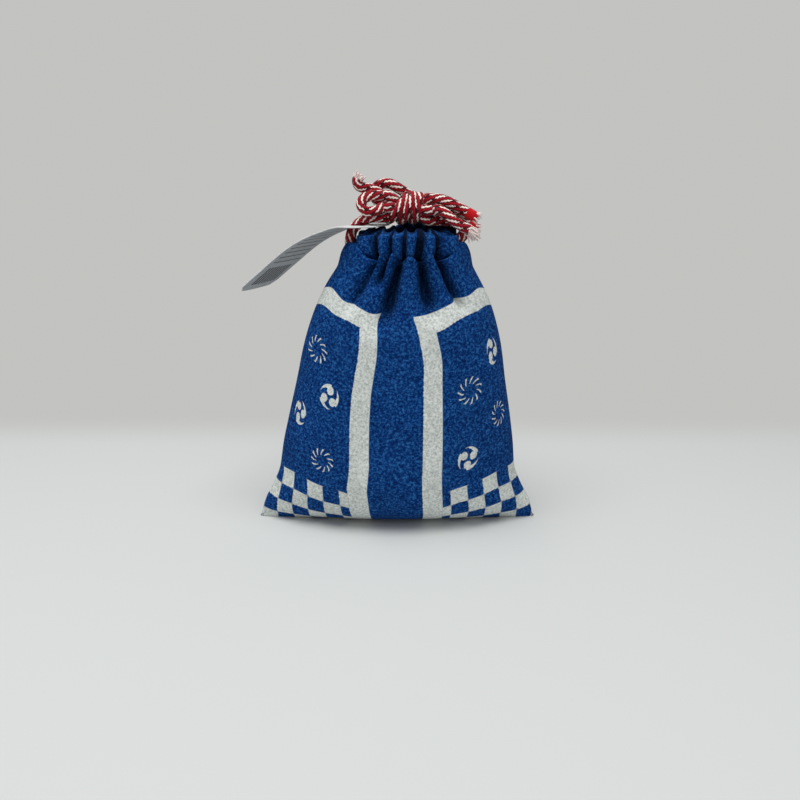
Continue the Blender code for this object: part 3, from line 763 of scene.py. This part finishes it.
# Braided cords
CORD_PAIRS = 5             # white strands round the cord, with a red one beside each
WHITE_SHARE = 0.38         # of the width of such a pair
CORD_DASH = 0.0054         # length along the cord from one white dash to the next on its strand
DASH_SHARE = 0.78          # of its length is a white dash
CORD_PITCH = 0.0215        # length of one turn of a strand
CORD_BEAD = 0.0011         # length of one bead of the braid
CORD_STEP = 0.00045
CORD_SIDES = 40
THREAD = 0.00045           # from one turn to the next of the thread round a bound end
# RED_DARK and WHITE_SHADE are painted shade at the edges of each strand; RED_DARK also darkens random
# fibres
RED = (0.4300, 0.0048, 0.0170, 1.0)
RED_DARK = (0.0600, 0.0010, 0.0040, 1.0)
RED_BRIGHT = (0.5800, 0.0040, 0.0060, 1.0)
WHITE = (0.9000, 0.7900, 0.7200, 1.0)
WHITE_SHADE = (0.6200, 0.4200, 0.3800, 1.0)
FIBRE_WHITE = (0.88, 0.80, 0.77, 1.0)
FIBRE_SHADE = (0.60, 0.42, 0.40, 1.0)


def cord_material():
    """Red and white strands, from the strand's number in the UV map, with painted shade at each
    strand's edges.
    """
    material, graph = new_material("braided_cord", 0.7, sheen=0.15)
    strand, along = graph.separate(graph.flat_uv())
    jag = graph.math("SINE", graph.times(along, 2 * math.pi / CORD_BEAD))
    rag = graph.flat_noise(graph.times(strand, 2.0), graph.times(along, 1500.0))
    ragged = graph.scaled(rag, 0.16, graph.scaled(jag, 0.060, -0.08))
    pair = graph.math("FRACT", graph.plus(ragged, strand))
    number = graph.math("FLOOR", strand)
    dash = graph.math("FRACT", graph.scaled(number, 0.618, graph.times(along, 1 / CORD_DASH)))
    dash = graph.math("DIVIDE", dash, DASH_SHARE, clamp=True)
    taper = graph.math("POWER", graph.arch(dash), 0.5)
    beside = graph.math("ABSOLUTE", graph.minus(pair, WHITE_SHARE / 2))
    is_white = graph.below(beside, graph.scaled(taper, WHITE_SHARE / 2 + 0.02, -0.02), 0.05)
    white_edge = graph.arch(graph.times(pair, 1 / WHITE_SHARE))
    red_edge = graph.arch(graph.times(graph.minus(pair, WHITE_SHARE), 1 / (1 - WHITE_SHARE)))
    fibres = graph.flat_noise(graph.times(strand, 5.0), graph.times(along, 500.0), 1.0, 3.0, 0.6)
    # painted shade: each strand darkens towards its edges, where it meets the next
    red = graph.mix(graph.spread(red_edge, 0.1, 0.9), RED_DARK, RED)
    white = graph.mix(graph.spread(white_edge, 0.0, 0.5), WHITE_SHADE, WHITE)
    colour = graph.mix(graph.spread(fibres, 0.25, 0.75, 0.55, 0.0), red, RED_DARK)
    graph.surface(graph.mix(is_white, colour, white), graph.bump(fibres, 0.6, 0.00012))
    return material


def fibre_material(name, colour, shade):
    """Loose fibres or thread with streaks along them."""
    material, graph = new_material(name, 0.85, sheen=0.2)
    streak = graph.noise(graph.flat_uv(), 6.0, 3.0, 0.6)
    streaked = graph.mix(graph.spread(streak, 0.3, 0.65), shade, colour)
    graph.surface(streaked, graph.bump(streak, 0.5, 0.0001))
    return material


def smooth_route(points, step):
    """Evenly spaced places on a smooth curve through a route's own points."""
    points = [np.array(point, float) for point in points]
    ends = [2 * points[0] - points[1]] + points + [2 * points[-1] - points[-2]]
    fine = []
    for before, start, finish, after in zip(ends, ends[1:], ends[2:], ends[3:]):
        for t in np.arange(0, 1, 1 / 40):
            linear = (finish - before) * t
            square = (2 * before - 5 * start + 4 * finish - after) * t ** 2
            cube = (3 * start - before - 3 * finish + after) * t ** 3
            fine.append((2 * start + linear + square + cube) / 2)
    fine = np.array(fine + [points[-1]])
    lengths = lengths_along(fine, 0)
    count = max(2, round(lengths[-1] / step))
    wanted = np.linspace(0, lengths[-1], count + 1)
    return np.stack([np.interp(wanted, lengths, fine[:, k]) for k in range(3)], -1)


def carried_frames(route):
    """The way along a route at each place, and two directions across it, carried without twist."""
    ways = unit(np.gradient(route, axis=0))
    side = np.cross(ways[0], UP)
    if np.linalg.norm(side) < 1e-3:
        side = np.cross(ways[0], [1.0, 0.0, 0.0])
    sides = []
    for way in ways:
        side = unit(side - way * np.dot(side, way))
        sides.append(side)
    sides = np.array(sides)
    return ways, sides, np.cross(ways, sides)


def rings_round(line, sides, ups, radius, turn):
    """Rings of places round a line, at the angles of turn without the last."""
    across = (radius * np.cos(turn))[..., None] * sides[:, None]
    upwards = (radius * np.sin(turn))[..., None] * ups[:, None]
    return (line[:, None] + across + upwards)[:, :-1]


def tube_object(name, tubes, material):
    """One mesh of closed tubes, each given as its rings of places and their UV coordinates."""
    places = []
    faces = []
    uvs = []
    start = 0
    for rings, uv in tubes:
        count, sides = rings.shape[:2]
        index = start + np.arange(count * sides).reshape(count, sides)
        faces += corners(np.hstack([index, index[:, :1]])).reshape(-1, 4).tolist()
        faces += [index[0][::-1].tolist(), index[-1].tolist()]
        uvs += [corners(uv).reshape(-1, 2), uv[0, :-1][::-1], uv[-1, :-1]]
        places.append(rings.reshape(-1, 3))
        start += count * sides
    return mesh_object(name, np.vstack(places), faces, np.vstack(uvs), material)


def build_cord(name, points, material, start_turn):
    """A braided cord along a route. Returns the piece and the line that it follows."""
    route = smooth_route(points, CORD_STEP)
    _, sides, ups = carried_frames(route)
    along = (np.arange(len(route)) * np.linalg.norm(route[1] - route[0]))[:, None]
    turn = np.linspace(0, 2 * np.pi, CORD_SIDES + 1)
    strand = (turn / (2 * np.pi) + along / CORD_PITCH + start_turn) * CORD_PAIRS
    pair = np.mod(strand + 0.045 * np.sin(2 * np.pi * along / CORD_BEAD), 1.0)
    white = pair < WHITE_SHARE
    within = np.where(white, pair / WHITE_SHARE, (pair - WHITE_SHARE) / (1 - WHITE_SHARE))
    lobe = np.sin(np.pi * within) ** 0.7
    bead = 0.5 + 0.5 * np.cos(2 * np.pi * (along / CORD_BEAD + 0.5 * white))
    radius = CORD_RADIUS * (0.86 + 0.15 * lobe * (0.72 + 0.28 * bead))
    uv = paired(strand, along)
    return tube_object(name, [(rings_round(route, sides, ups, radius, turn), uv)], material), route


# Routes of the cords, as in the part's source, in millimetres: to the right of the neck's middle,
# back, and up from the knot
LEG_LEFT = ((-20.0, 2.2, -7.6), (-17.2, 2.2, -4.8), (-13.4, 2.2, -3.1))
LEG_RIGHT = ((18.8, 2.2, -4.9), (15.6, 2.2, -4.4), (12.4, 2.2, -4.1))
LOOP_LEFT = (
    (-11.4, -5.6, -0.6), (-14.5, -6.4, -0.7), (-16.5, -6.0, 1.4), (-15.6, -5.0, 3.7),
    (-12.8, -3.8, 4.7),
)
LOOP_UPPER = (
    (-11.0, 6.2, 2.2), (-12.4, 7.3, 4.6), (-11.8, 7.3, 7.0), (-9.6, 6.6, 8.5), (-6.8, 5.8, 8.7),
    (-4.2, 5.6, 7.5), (-1.6, 6.3, 5.9), (0.6, 7.3, 4.4), (2.6, 8.1, 2.6),
)
LOOP_RIGHT = (
    (12.6, 0.4, -0.1), (16.8, 0.5, -0.6), (19.6, 1.1, -0.9), (20.9, 3.0, -1.0),
    (19.4, 4.9, -0.4), (16.4, 4.9, 0.8), (13.0, 4.2, 2.4),
)
TAIL_LEFT = (
    (-11.2, 3.0, 5.9), (-13.6, 3.2, 6.9), (-15.9, 3.1, 7.2), (-17.6, 2.9, 7.9),
    (-18.3, 2.7, 9.5), (-18.0, 2.6, 10.6),
)
TAIL_UPPER = ((12.2, -2.6, 3.2), (15.4, -3.4, 2.0), (18.6, -4.2, 0.2), (21.6, -4.6, -1.4))
TAIL_LOWER = (
    (11.0, -5.5, -0.2), (13.0, -7.2, -1.3), (15.4, -8.2, -3.2), (18.6, -8.2, -5.4),
    (22.0, -7.8, -7.2),
)
TAIL_HANGING = (
    (11.0, 5.6, -0.9), (13.2, 7.0, -2.0), (16.4, 7.5, -3.5), (20.0, 7.0, -4.8),
    (23.4, 6.2, -6.2),
)

# Where the cords meet the knot's ends: back and up from its middle
LEG_SPOT = (0.0022, -0.0030)
LOW_SPOT = (0.0000, 0.0010)
SIDE_SPOT = (0.0044, 0.0007)
HIGH_SPOT = (0.0022, 0.0046)
KNOT_FACE = 0.0071
KNOT_HOLD = 0.0030         # how far inside the knot the squeezed cords run straight, each way
KNOT_SLANT = 0.0011        # how much lower the strands leave the knot at its right end
KNOT_TURNS = 3
KNOT_STEPS = 16
KNOT_PITCH = 0.0034
KNOT_LEAN = 0.0014         # how far the turns' tops stand to the right of their bottoms
KNOT_RADIUS = 0.0042
SQUEEZE = 0.42
LEG_STANDOFF = 0.0044
RUN_MIDDLE = (STITCH_HEIGHT + CASING_TOP) / 2 - 0.0010
CORD_LEVEL = 0.0020
RUN_PLACES = 24
SLIT_TURN = math.radians(26.5)


def from_neck(place):
    """A place given from the middle of the neck and the knot's height, in the frame."""
    return np.array([LEAN + place[0], place[1], BOW_HEIGHT + place[2]])


def on_route(places):
    """Places of a route in the frame."""
    return [from_neck(np.array(place) * MM) for place in places]


def at_knot(hand, side, spot):
    """Two places where a cord leaves one end of the knot, from the knot outwards."""
    up = spot[1] - KNOT_SLANT * (hand == RIGHT)
    reaches = (KNOT_FACE, KNOT_FACE + CORD_RADIUS)
    return [from_neck((hand * reach, side * spot[0], up)) for reach in reaches]


def in_knot(reach, side, spot):
    """A place inside the knot."""
    return from_neck((reach, side * spot[0] * SQUEEZE, spot[1] * SQUEEZE))


def across_knot(side, spot):
    """Places from where a cord enters the knot's left end to where it leaves the right end."""
    held = [in_knot(reach, side, spot) for reach in (-KNOT_HOLD, 0.0, KNOT_HOLD)]
    return at_knot(LEFT, side, spot)[::-1] + held + at_knot(RIGHT, side, spot)


def drawcord_places(hand, level, leg):
    """Down the back leg, round the neck in both casings, and up the front leg."""
    height = RUN_MIDDLE + level * CORD_LEVEL
    spread = LEG_SPOT[0]
    side = LEAN + hand * HALF_NECK
    back_leg = [in_knot(hand * KNOT_HOLD, BACK, LEG_SPOT)] + at_knot(hand, BACK, LEG_SPOT)
    back_leg += on_route(leg[::-1])
    back_leg += [
        np.array([side + hand * LEG_STANDOFF, spread, height + CORD]),
        np.array([side + hand * (LEG_STANDOFF - 0.0003), spread, height + CORD_RADIUS]),
        np.array([side + hand * CORD_RADIUS, spread, height]),
    ]
    front_leg = [place * np.array([1.0, -1.0, 1.0]) for place in reversed(back_leg)]
    run = []
    for step in range(RUN_PLACES + 1):
        turn = SLIT_TURN + 2 * (math.pi - SLIT_TURN) * step / RUN_PLACES
        x = LEAN + hand * HALF_NECK * math.cos(turn)
        run.append(np.array([x, HALF_NECK_DEPTH * math.sin(turn), height]))
    return back_leg + run + front_leg


def knot_places():
    """Turns round the middle of the bow, closer together at the top, with both ends tucked in."""
    places = []
    for step in range(KNOT_TURNS * KNOT_STEPS + 1):
        share = step / KNOT_STEPS - KNOT_TURNS / 2
        turn = 2 * math.pi * step / KNOT_STEPS - math.pi / 2
        cosine = math.cos(turn)
        along = -KNOT_PITCH * share * (1 - 0.30 * cosine) + KNOT_LEAN * cosine
        tucked = float(smoothstep(0.0, 0.30, KNOT_TURNS / 2 - abs(share)))
        radius = KNOT_RADIUS * (0.45 + 0.55 * tucked) * (1 + 0.05 * cosine - 0.05 * abs(share))
        places.append(from_neck((along, -radius * math.sin(turn), radius * cosine)))
    return places


def build_cords(material):
    """Both drawcords, the bow and the knot: each piece and the line that it follows, by name."""
    routes = {
        "drawcord_left": drawcord_places(LEFT, -1, LEG_LEFT),
        "drawcord_right": drawcord_places(RIGHT, 1, LEG_RIGHT),
        "bow_front": (
            on_route(TAIL_LOWER[::-1]) + across_knot(FRONT, SIDE_SPOT)[::-1]
            + on_route(LOOP_LEFT) + across_knot(FRONT, HIGH_SPOT) + on_route(TAIL_UPPER)
        ),
        "bow_back": (
            on_route(TAIL_HANGING[::-1]) + across_knot(BACK, SIDE_SPOT)[::-1]
            + on_route(LOOP_UPPER)
        ),
        "bow_side": (
            on_route(TAIL_LEFT[::-1]) + across_knot(BACK, HIGH_SPOT)
            + on_route(LOOP_RIGHT[::-1]) + at_knot(RIGHT, BACK, LOW_SPOT)[::-1]
            + [in_knot(KNOT_HOLD, BACK, LOW_SPOT)]
        ),
        "knot": knot_places(),
    }
    return {
        name: build_cord(name, places, material, 0.13 * number)
        for number, (name, places) in enumerate(routes.items())
    }


def end_of(points):
    """The last place of a tail, the way on from it, and two directions across that way."""
    line = on_route(points)
    ways, sides, ups = carried_frames(smooth_route(line, CORD_STEP))
    return line[-1], ways[-1], sides[-1], ups[-1]


END_SINK = 0.0006          # how far an end's fibres or thread start inside the cord
FIBRE = 0.00040            # radius of a loose fibre at its root
FIBRE_TAPER = 0.00022      # how much thinner it is at its tip
WHIPPED = 0.45             # share of a bound end's length over which it closes


def build_tuft(name, points, count, length, spread, droop, material, seed, start=0.0):
    """Loose fibres that fan out from a cord's cut end, starting a little way beyond it."""
    place, way, side, up = end_of(points)
    chance = np.random.RandomState(seed)
    turn = np.linspace(0, 2 * np.pi, 6)
    t = np.linspace(0.0, 1.0, 9)[:, None]
    tubes = []
    for number in range(count):
        reach = math.sqrt(chance.rand()) * CORD_RADIUS * 0.85
        angle = chance.rand() * 2 * np.pi
        across = side * math.cos(angle) + up * math.sin(angle)
        root = place + way * (start - END_SINK) + across * reach
        heading = way + across * spread * (reach / CORD_RADIUS) + chance.normal(0.0, 0.10, 3)
        curl = chance.normal(0.0, 0.16, 3) - droop * UP
        line = root + (heading * t + curl * t ** 2) * length * (0.65 + 0.45 * chance.rand())
        _, sides, ups = carried_frames(line)
        rings = rings_round(line, sides, ups, FIBRE - FIBRE_TAPER * t ** 2, turn)
        tubes.append((rings, paired(number + turn / 6.3, 3 * t)))
    return tube_object(name, tubes, material)


def build_whipping(name, points, length, material):
    """Red thread wound round a cord's cut end."""
    place, way, side, up = end_of(points)
    along = np.linspace(-END_SINK, length, 60)[:, None]
    turn = np.linspace(0, 2 * np.pi, CORD_SIDES + 1)
    closing = np.sqrt(np.clip((length - along) / (WHIPPED * length), 0.0, 1.0))
    wound = along / THREAD + turn / (2 * np.pi)
    radius = CORD_RADIUS * (0.30 + 0.72 * closing + 0.03 * np.sin(2 * np.pi * wound))
    rings = rings_round(place + way * along, side[None], up[None], radius, turn)
    return tube_object(name, [(rings, paired(wound, turn))], material)


def build_ends(white, red):
    """The four cut ends of the bow's cords, with their slots and the nodes they stand for."""
    left = build_tuft("left_end", TAIL_LEFT, 44, 0.0022, 0.42, 0.05, white, 3)
    lower = build_tuft("lower_end", TAIL_LOWER, 50, 0.0040, 0.20, 0.14, white, 5)
    upper = build_whipping("upper_end", TAIL_UPPER, 0.0038, red)
    hanging = build_whipping("hanging_end", TAIL_HANGING, 0.0030, red)
    tuft = build_tuft("upper_tuft", TAIL_UPPER, 16, 0.0022, 0.4, 0.1, white, 7, 0.0032)
    low_tuft = build_tuft("hanging_tuft", TAIL_HANGING, 16, 0.0020, 0.4, 0.1, white, 9, 0.0024)
    return (
        (left, "frayed_ends", "fray_left"),
        (lower, "frayed_ends", "fray_lower"),
        (upper, "cord", "fray_upper"),
        (hanging, "cord", "fray_hanging"),
        (tuft, "frayed_ends"),
        (low_tuft, "frayed_ends"),
    )


# Paper tag
TAG_LENGTH = 0.0610
TAG_WIDTH = 0.0260
TAG_THICKNESS = 0.0004
TAG_HOLE = 0.0104
TAG_HOLE_MARGIN = 0.0084   # from the middle of the hole to the near end
TAG_CORNER = 0.0030
TAG_TRIM = 0.0025          # how much further the corners beside the hole are clipped
TAG_FLAT = 0.0012          # from the middle of the hole to where it starts to bend
TAG_FIRST = 0.0060         # length over which it comes to its first slope
TAG_TIP = math.radians(18)
TAG_BEND = 0.0330          # length over which it comes to its last slope
TAG_DROOP = math.radians(38.5)
TAG_CURL = 0.0003          # how far its edges curl up
TAG_PLACE = -0.0172
TAG_HEADING = math.radians(158)
TAG_LIFT = 0.0004
TAG_RINGS = 7
TAG_COLUMNS = 60
TAG_ACROSS = 24
TAG_BESIDE = 16            # cells along the edge beside the hole
TAG_UV_SPAN = 0.1          # length that the UV map's side stands for
TAG_UV_PLACE = (0.2, 0.5)  # where the hole's middle is on it


def tag_line(along):
    """Where the tag's middle line lies seen from its side, for distances from its hole."""
    fine = np.linspace(-TAG_HOLE_MARGIN, TAG_LENGTH - TAG_HOLE_MARGIN, 400)
    bend = TAG_FLAT + TAG_FIRST
    slope = TAG_TIP * smoothstep(TAG_FLAT, bend, fine)
    slope = slope + (TAG_DROOP - TAG_TIP) * smoothstep(bend, TAG_FLAT + TAG_BEND, fine)
    step = fine[1] - fine[0]
    forward = np.concatenate([[0.0], np.cumsum(np.cos(slope[:-1]) * step)]) + fine[0]
    down = np.concatenate([[0.0], np.cumsum(np.sin(slope[:-1]) * step)])
    return np.interp(along, fine, forward), -np.interp(along, fine, down)


def tag_edge(x):
    """Half the tag's width, clipped at its corners."""
    inner = np.minimum(x + TAG_HOLE_MARGIN - TAG_TRIM, TAG_LENGTH - TAG_HOLE_MARGIN - x)
    return TAG_WIDTH / 2 - np.maximum(TAG_CORNER - inner, 0.0)


def tag_flat():
    """Places and faces of the flat tag: rings from its hole out to a patch, and the rest."""
    reach = TAG_HOLE_MARGIN
    half = TAG_WIDTH / 2
    share = np.linspace(-1, 1, TAG_ACROSS + 1)
    end = paired(reach, half * share)[:-1]
    beside = np.linspace(1, -1, TAG_BESIDE + 1)
    side = paired(reach * beside, half)[:-1]
    edge = np.vstack([end, side, -end, -side])
    edge[:, 1] = np.clip(edge[:, 1], -tag_edge(edge[:, 0]), tag_edge(edge[:, 0]))
    turn = np.arctan2(edge[:, 1], edge[:, 0])
    hole = paired(np.cos(turn), np.sin(turn)) * TAG_HOLE / 2
    rings = [hole + (edge - hole) * ring / TAG_RINGS for ring in range(TAG_RINGS + 1)]
    patch = np.arange(len(rings) * len(edge)).reshape(len(rings), len(edge))
    x = np.linspace(reach, TAG_LENGTH - TAG_HOLE_MARGIN, TAG_COLUMNS + 1)
    sheet = paired(x[:, None], tag_edge(x)[:, None] * share)
    rest = patch.size + np.arange(len(x) * len(share)).reshape(len(x), len(share))
    grids = (np.hstack([patch, patch[:, :1]]), rest)
    faces = np.vstack([corners(grid).reshape(-1, 4)[:, [0, 3, 2, 1]] for grid in grids])
    return np.vstack([*rings, sheet.reshape(-1, 2)]), faces


def build_tag(face, back):
    """A sheet of card with clipped corners and a punched hole, bent down past the neck."""
    flat, faces = tag_flat()
    forward, down = tag_line(flat[:, 0])
    curl = TAG_CURL * (flat[:, 1] / (TAG_WIDTH / 2)) ** 2 * smoothstep(0.02, 0.05, flat[:, 0])
    cosine = math.cos(TAG_HEADING)
    sine = math.sin(TAG_HEADING)
    world = np.stack([
        LEAN + TAG_PLACE + forward * cosine - flat[:, 1] * sine,
        forward * sine + flat[:, 1] * cosine,
        CASING_TOP + TAG_LIFT + TAG_THICKNESS / 2 + down + curl,
    ], -1)
    uv = flat[faces.reshape(-1)] / TAG_UV_SPAN + np.array(TAG_UV_PLACE)
    item = mesh_object("hang_tag_card", world, faces.tolist(), uv, face)
    mesh = item.data
    mesh.materials.append(back)
    bm = bmesh.new()
    bm.from_mesh(mesh)
    bmesh.ops.remove_doubles(bm, verts=bm.verts, dist=1e-6)
    bmesh.ops.recalc_face_normals(bm, faces=bm.faces)
    if sum(piece.normal.z for piece in bm.faces) < 0:
        bmesh.ops.reverse_faces(bm, faces=bm.faces)
    bm.to_mesh(mesh)
    bm.free()
    mesh.shade_smooth()
    thicken(item, "card thickness", TAG_THICKNESS, 0.0).material_offset = 1
    return item


INK = (0.012, 0.013, 0.016, 1.0)
FACE_SHADES = ((0.60, 0.61, 0.62, 1.0), (0.68, 0.69, 0.70, 1.0))
# the underside's tones are darker than the face's: painted shade, as it faces down away from the
# lamps
BACK_PAINTED_SHADES = ((0.33, 0.35, 0.37, 1.0), (0.40, 0.42, 0.44, 1.0))


def paper_material(name, shades, printed):
    """Coated card, with evenly spaced bars and ruled lines on its underside, in millimetres."""
    material, graph = new_material(name, 0.55)
    u, v = graph.separate(graph.flat_uv())
    span = TAG_UV_SPAN / MM
    along = graph.scaled(u, span, -span * TAG_UV_PLACE[0])
    across = graph.scaled(v, span, -span * TAG_UV_PLACE[1])
    cloud = graph.flat_noise(along, across, 0.35, 3.0, 0.6)
    fibre = graph.flat_noise(along, across, 3.0, 4.0, 0.7)
    colour = graph.mix(graph.spread(cloud, 0.35, 0.65), *shades)
    if printed:
        bars = graph.both(
            graph.inside(along, 38.0, 49.0, 0.1),
            graph.inside(across, -9.0, 9.0, 0.1),
            graph.below(graph.math("FRACT", graph.times(across, 1 / 2.25)), 0.68, 0.08),
        )
        lines = graph.both(
            graph.inside(along, 10.0, 35.0, 0.1),
            graph.inside(across, -10.0, 10.0, 0.1),
            graph.below(graph.math("FRACT", graph.times(along, 1 / 3.1)), 0.20, 0.05),
        )
        colour = graph.mix(graph.times(graph.either(bars, lines), 0.85), colour, INK)
    graph.surface(colour, graph.bump(fibre, 0.15, 0.00005))
    return material


# Stage
WALL_START = 0.085         # where the floor starts to turn into the plain ground behind the pouch
WALL_END = 0.150
HALF_FLOOR = 6.0
FLOOR = (0.640, 0.660, 0.650, 1.0)
BACKGROUND = (0.545, 0.545, 0.530, 1.0)
AIM = (0.0, 0.0, 0.06)


def build_stage():
    """A pale floor that turns into a plain grey ground behind the pouch."""
    material, graph = new_material("stage_floor", 0.9, specular=0.1)
    _, depth = graph.separate(graph.node("NewGeometry").outputs["Position"])
    behind = graph.spread(depth, WALL_START, WALL_END)
    smooth = graph.times(behind, graph.times(behind, graph.scaled(behind, -2.0, 3.0)))
    graph.link(FLOOR, graph.shader.inputs["Base Color"])
    glow = graph.node("Emission", BACKGROUND)
    graph.mix_shaders(smooth, graph.shader, glow, "Material Output")
    ends = (-HALF_FLOOR, HALF_FLOOR)
    places = [(x, y, 0) for x in ends for y in ends]
    mesh = bpy.data.meshes.new("stage_floor")
    mesh.from_pydata(places, [], [(0, 2, 3, 1)])
    mesh.materials.append(material)
    new_object("stage_floor", mesh)


def build_world():
    """White light from all round, and the ground's grey where the camera sees past the floor."""
    world = bpy.data.worlds.new("studio")
    bpy.context.scene.world = world
    world.use_nodes = True
    graph = Graph(world.node_tree)
    light = world.node_tree.nodes["Background"]
    light.inputs["Color"].default_value = (1.0, 1.0, 1.0, 1.0)
    light.inputs["Strength"].default_value = 0.34
    seen = graph.node("Background", BACKGROUND, 1.0)
    is_camera = graph.node("LightPath").outputs["Is Camera Ray"]
    graph.mix_shaders(is_camera, light, seen, "World Output")


def build_lamp(name, place, size, power):
    """A square lamp that shines on the pouch."""
    lamp = bpy.data.lights.new(name, "AREA")
    lamp.size = size
    lamp.energy = power
    item = new_object(name, lamp)
    item.location = place
    item.rotation_euler = (Vector(AIM) - Vector(place)).to_track_quat("-Z", "Y").to_euler()


def build_camera():
    camera = bpy.data.cameras.new("photo_view")
    camera.sensor_width = 36.0
    camera.lens = 38.79
    camera.clip_start = 0.01
    item = new_object("photo_view", camera)
    item.location = (0.0011, -0.3188, 0.1331)
    item.rotation_euler = (math.radians(75), 0.0, 0.0)
    bpy.context.scene.camera = item


def build_cloth():
    """Both panels and both casings."""
    crepe = crepe_material("printed_crepe", True)
    plain = crepe_material("plain_crepe", False)
    front = build_panel("front_cloth", FRONT, FRONT_VALLEYS, FRONT_RISES, crepe)
    back = build_panel("back_cloth", BACK, BACK_VALLEYS, BACK_RISES, crepe)
    front_ruffle = build_casing("front_ruffle", FRONT, FRONT_PLEATS, plain)
    back_ruffle = build_casing("back_ruffle", BACK, BACK_PLEATS, plain)
    return front, back, front_ruffle, back_ruffle


def main():
    bpy.context.scene.view_settings.view_transform = "Standard"
    build_camera()
    build_stage()
    build_world()
    build_lamp("overhead", (-0.10, -0.16, 0.80), 0.60, 5.4)
    build_lamp("front", (0.20, -0.80, 0.55), 0.80, 1.3)

    cords = build_cords(cord_material())
    front, back, front_ruffle, back_ruffle = build_cloth()
    card = build_tag(
        paper_material("card_face", FACE_SHADES, False),
        paper_material("card_back", BACK_PAINTED_SHADES, True),
    )
    ends = build_ends(
        fibre_material("loose_fibre", FIBRE_WHITE, FIBRE_SHADE),
        fibre_material("binding_thread", RED_BRIGHT, RED),
    )

    for piece, slot, *nodes in (
        (front, "crepe", "front_panel", "side_seam_left", "side_seam_right", "bottom_seam"),
        (back, "crepe", "back_panel"),
        (front_ruffle, "crepe", "front_casing"),
        (back_ruffle, "crepe", "back_casing"),
        (cords["drawcord_left"][0], "cord", "drawcord_left"),
        (cords["drawcord_right"][0], "cord", "drawcord_right"),
        (cords["bow_front"][0], "cord", "bow_tail_upper", "bow_loop_left", "bow_tail_lower"),
        (cords["bow_back"][0], "cord", "bow_tail_hanging", "bow_loop_upper"),
        (cords["bow_side"][0], "cord", "bow_tail_left", "bow_loop_right"),
        (cords["knot"][0], "cord", "knot_core", "knot_wrap"),
        (card, "paper", "hang_tag"),
        *ends,
    ):
        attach(piece, "tag" if piece == card else "pouch")
        if nodes:
            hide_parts(*nodes)

    for name in ("drawcord_left", "drawcord_right", "bow_front", "bow_back", "bow_side"):
        piece, route = cords[name]


main()
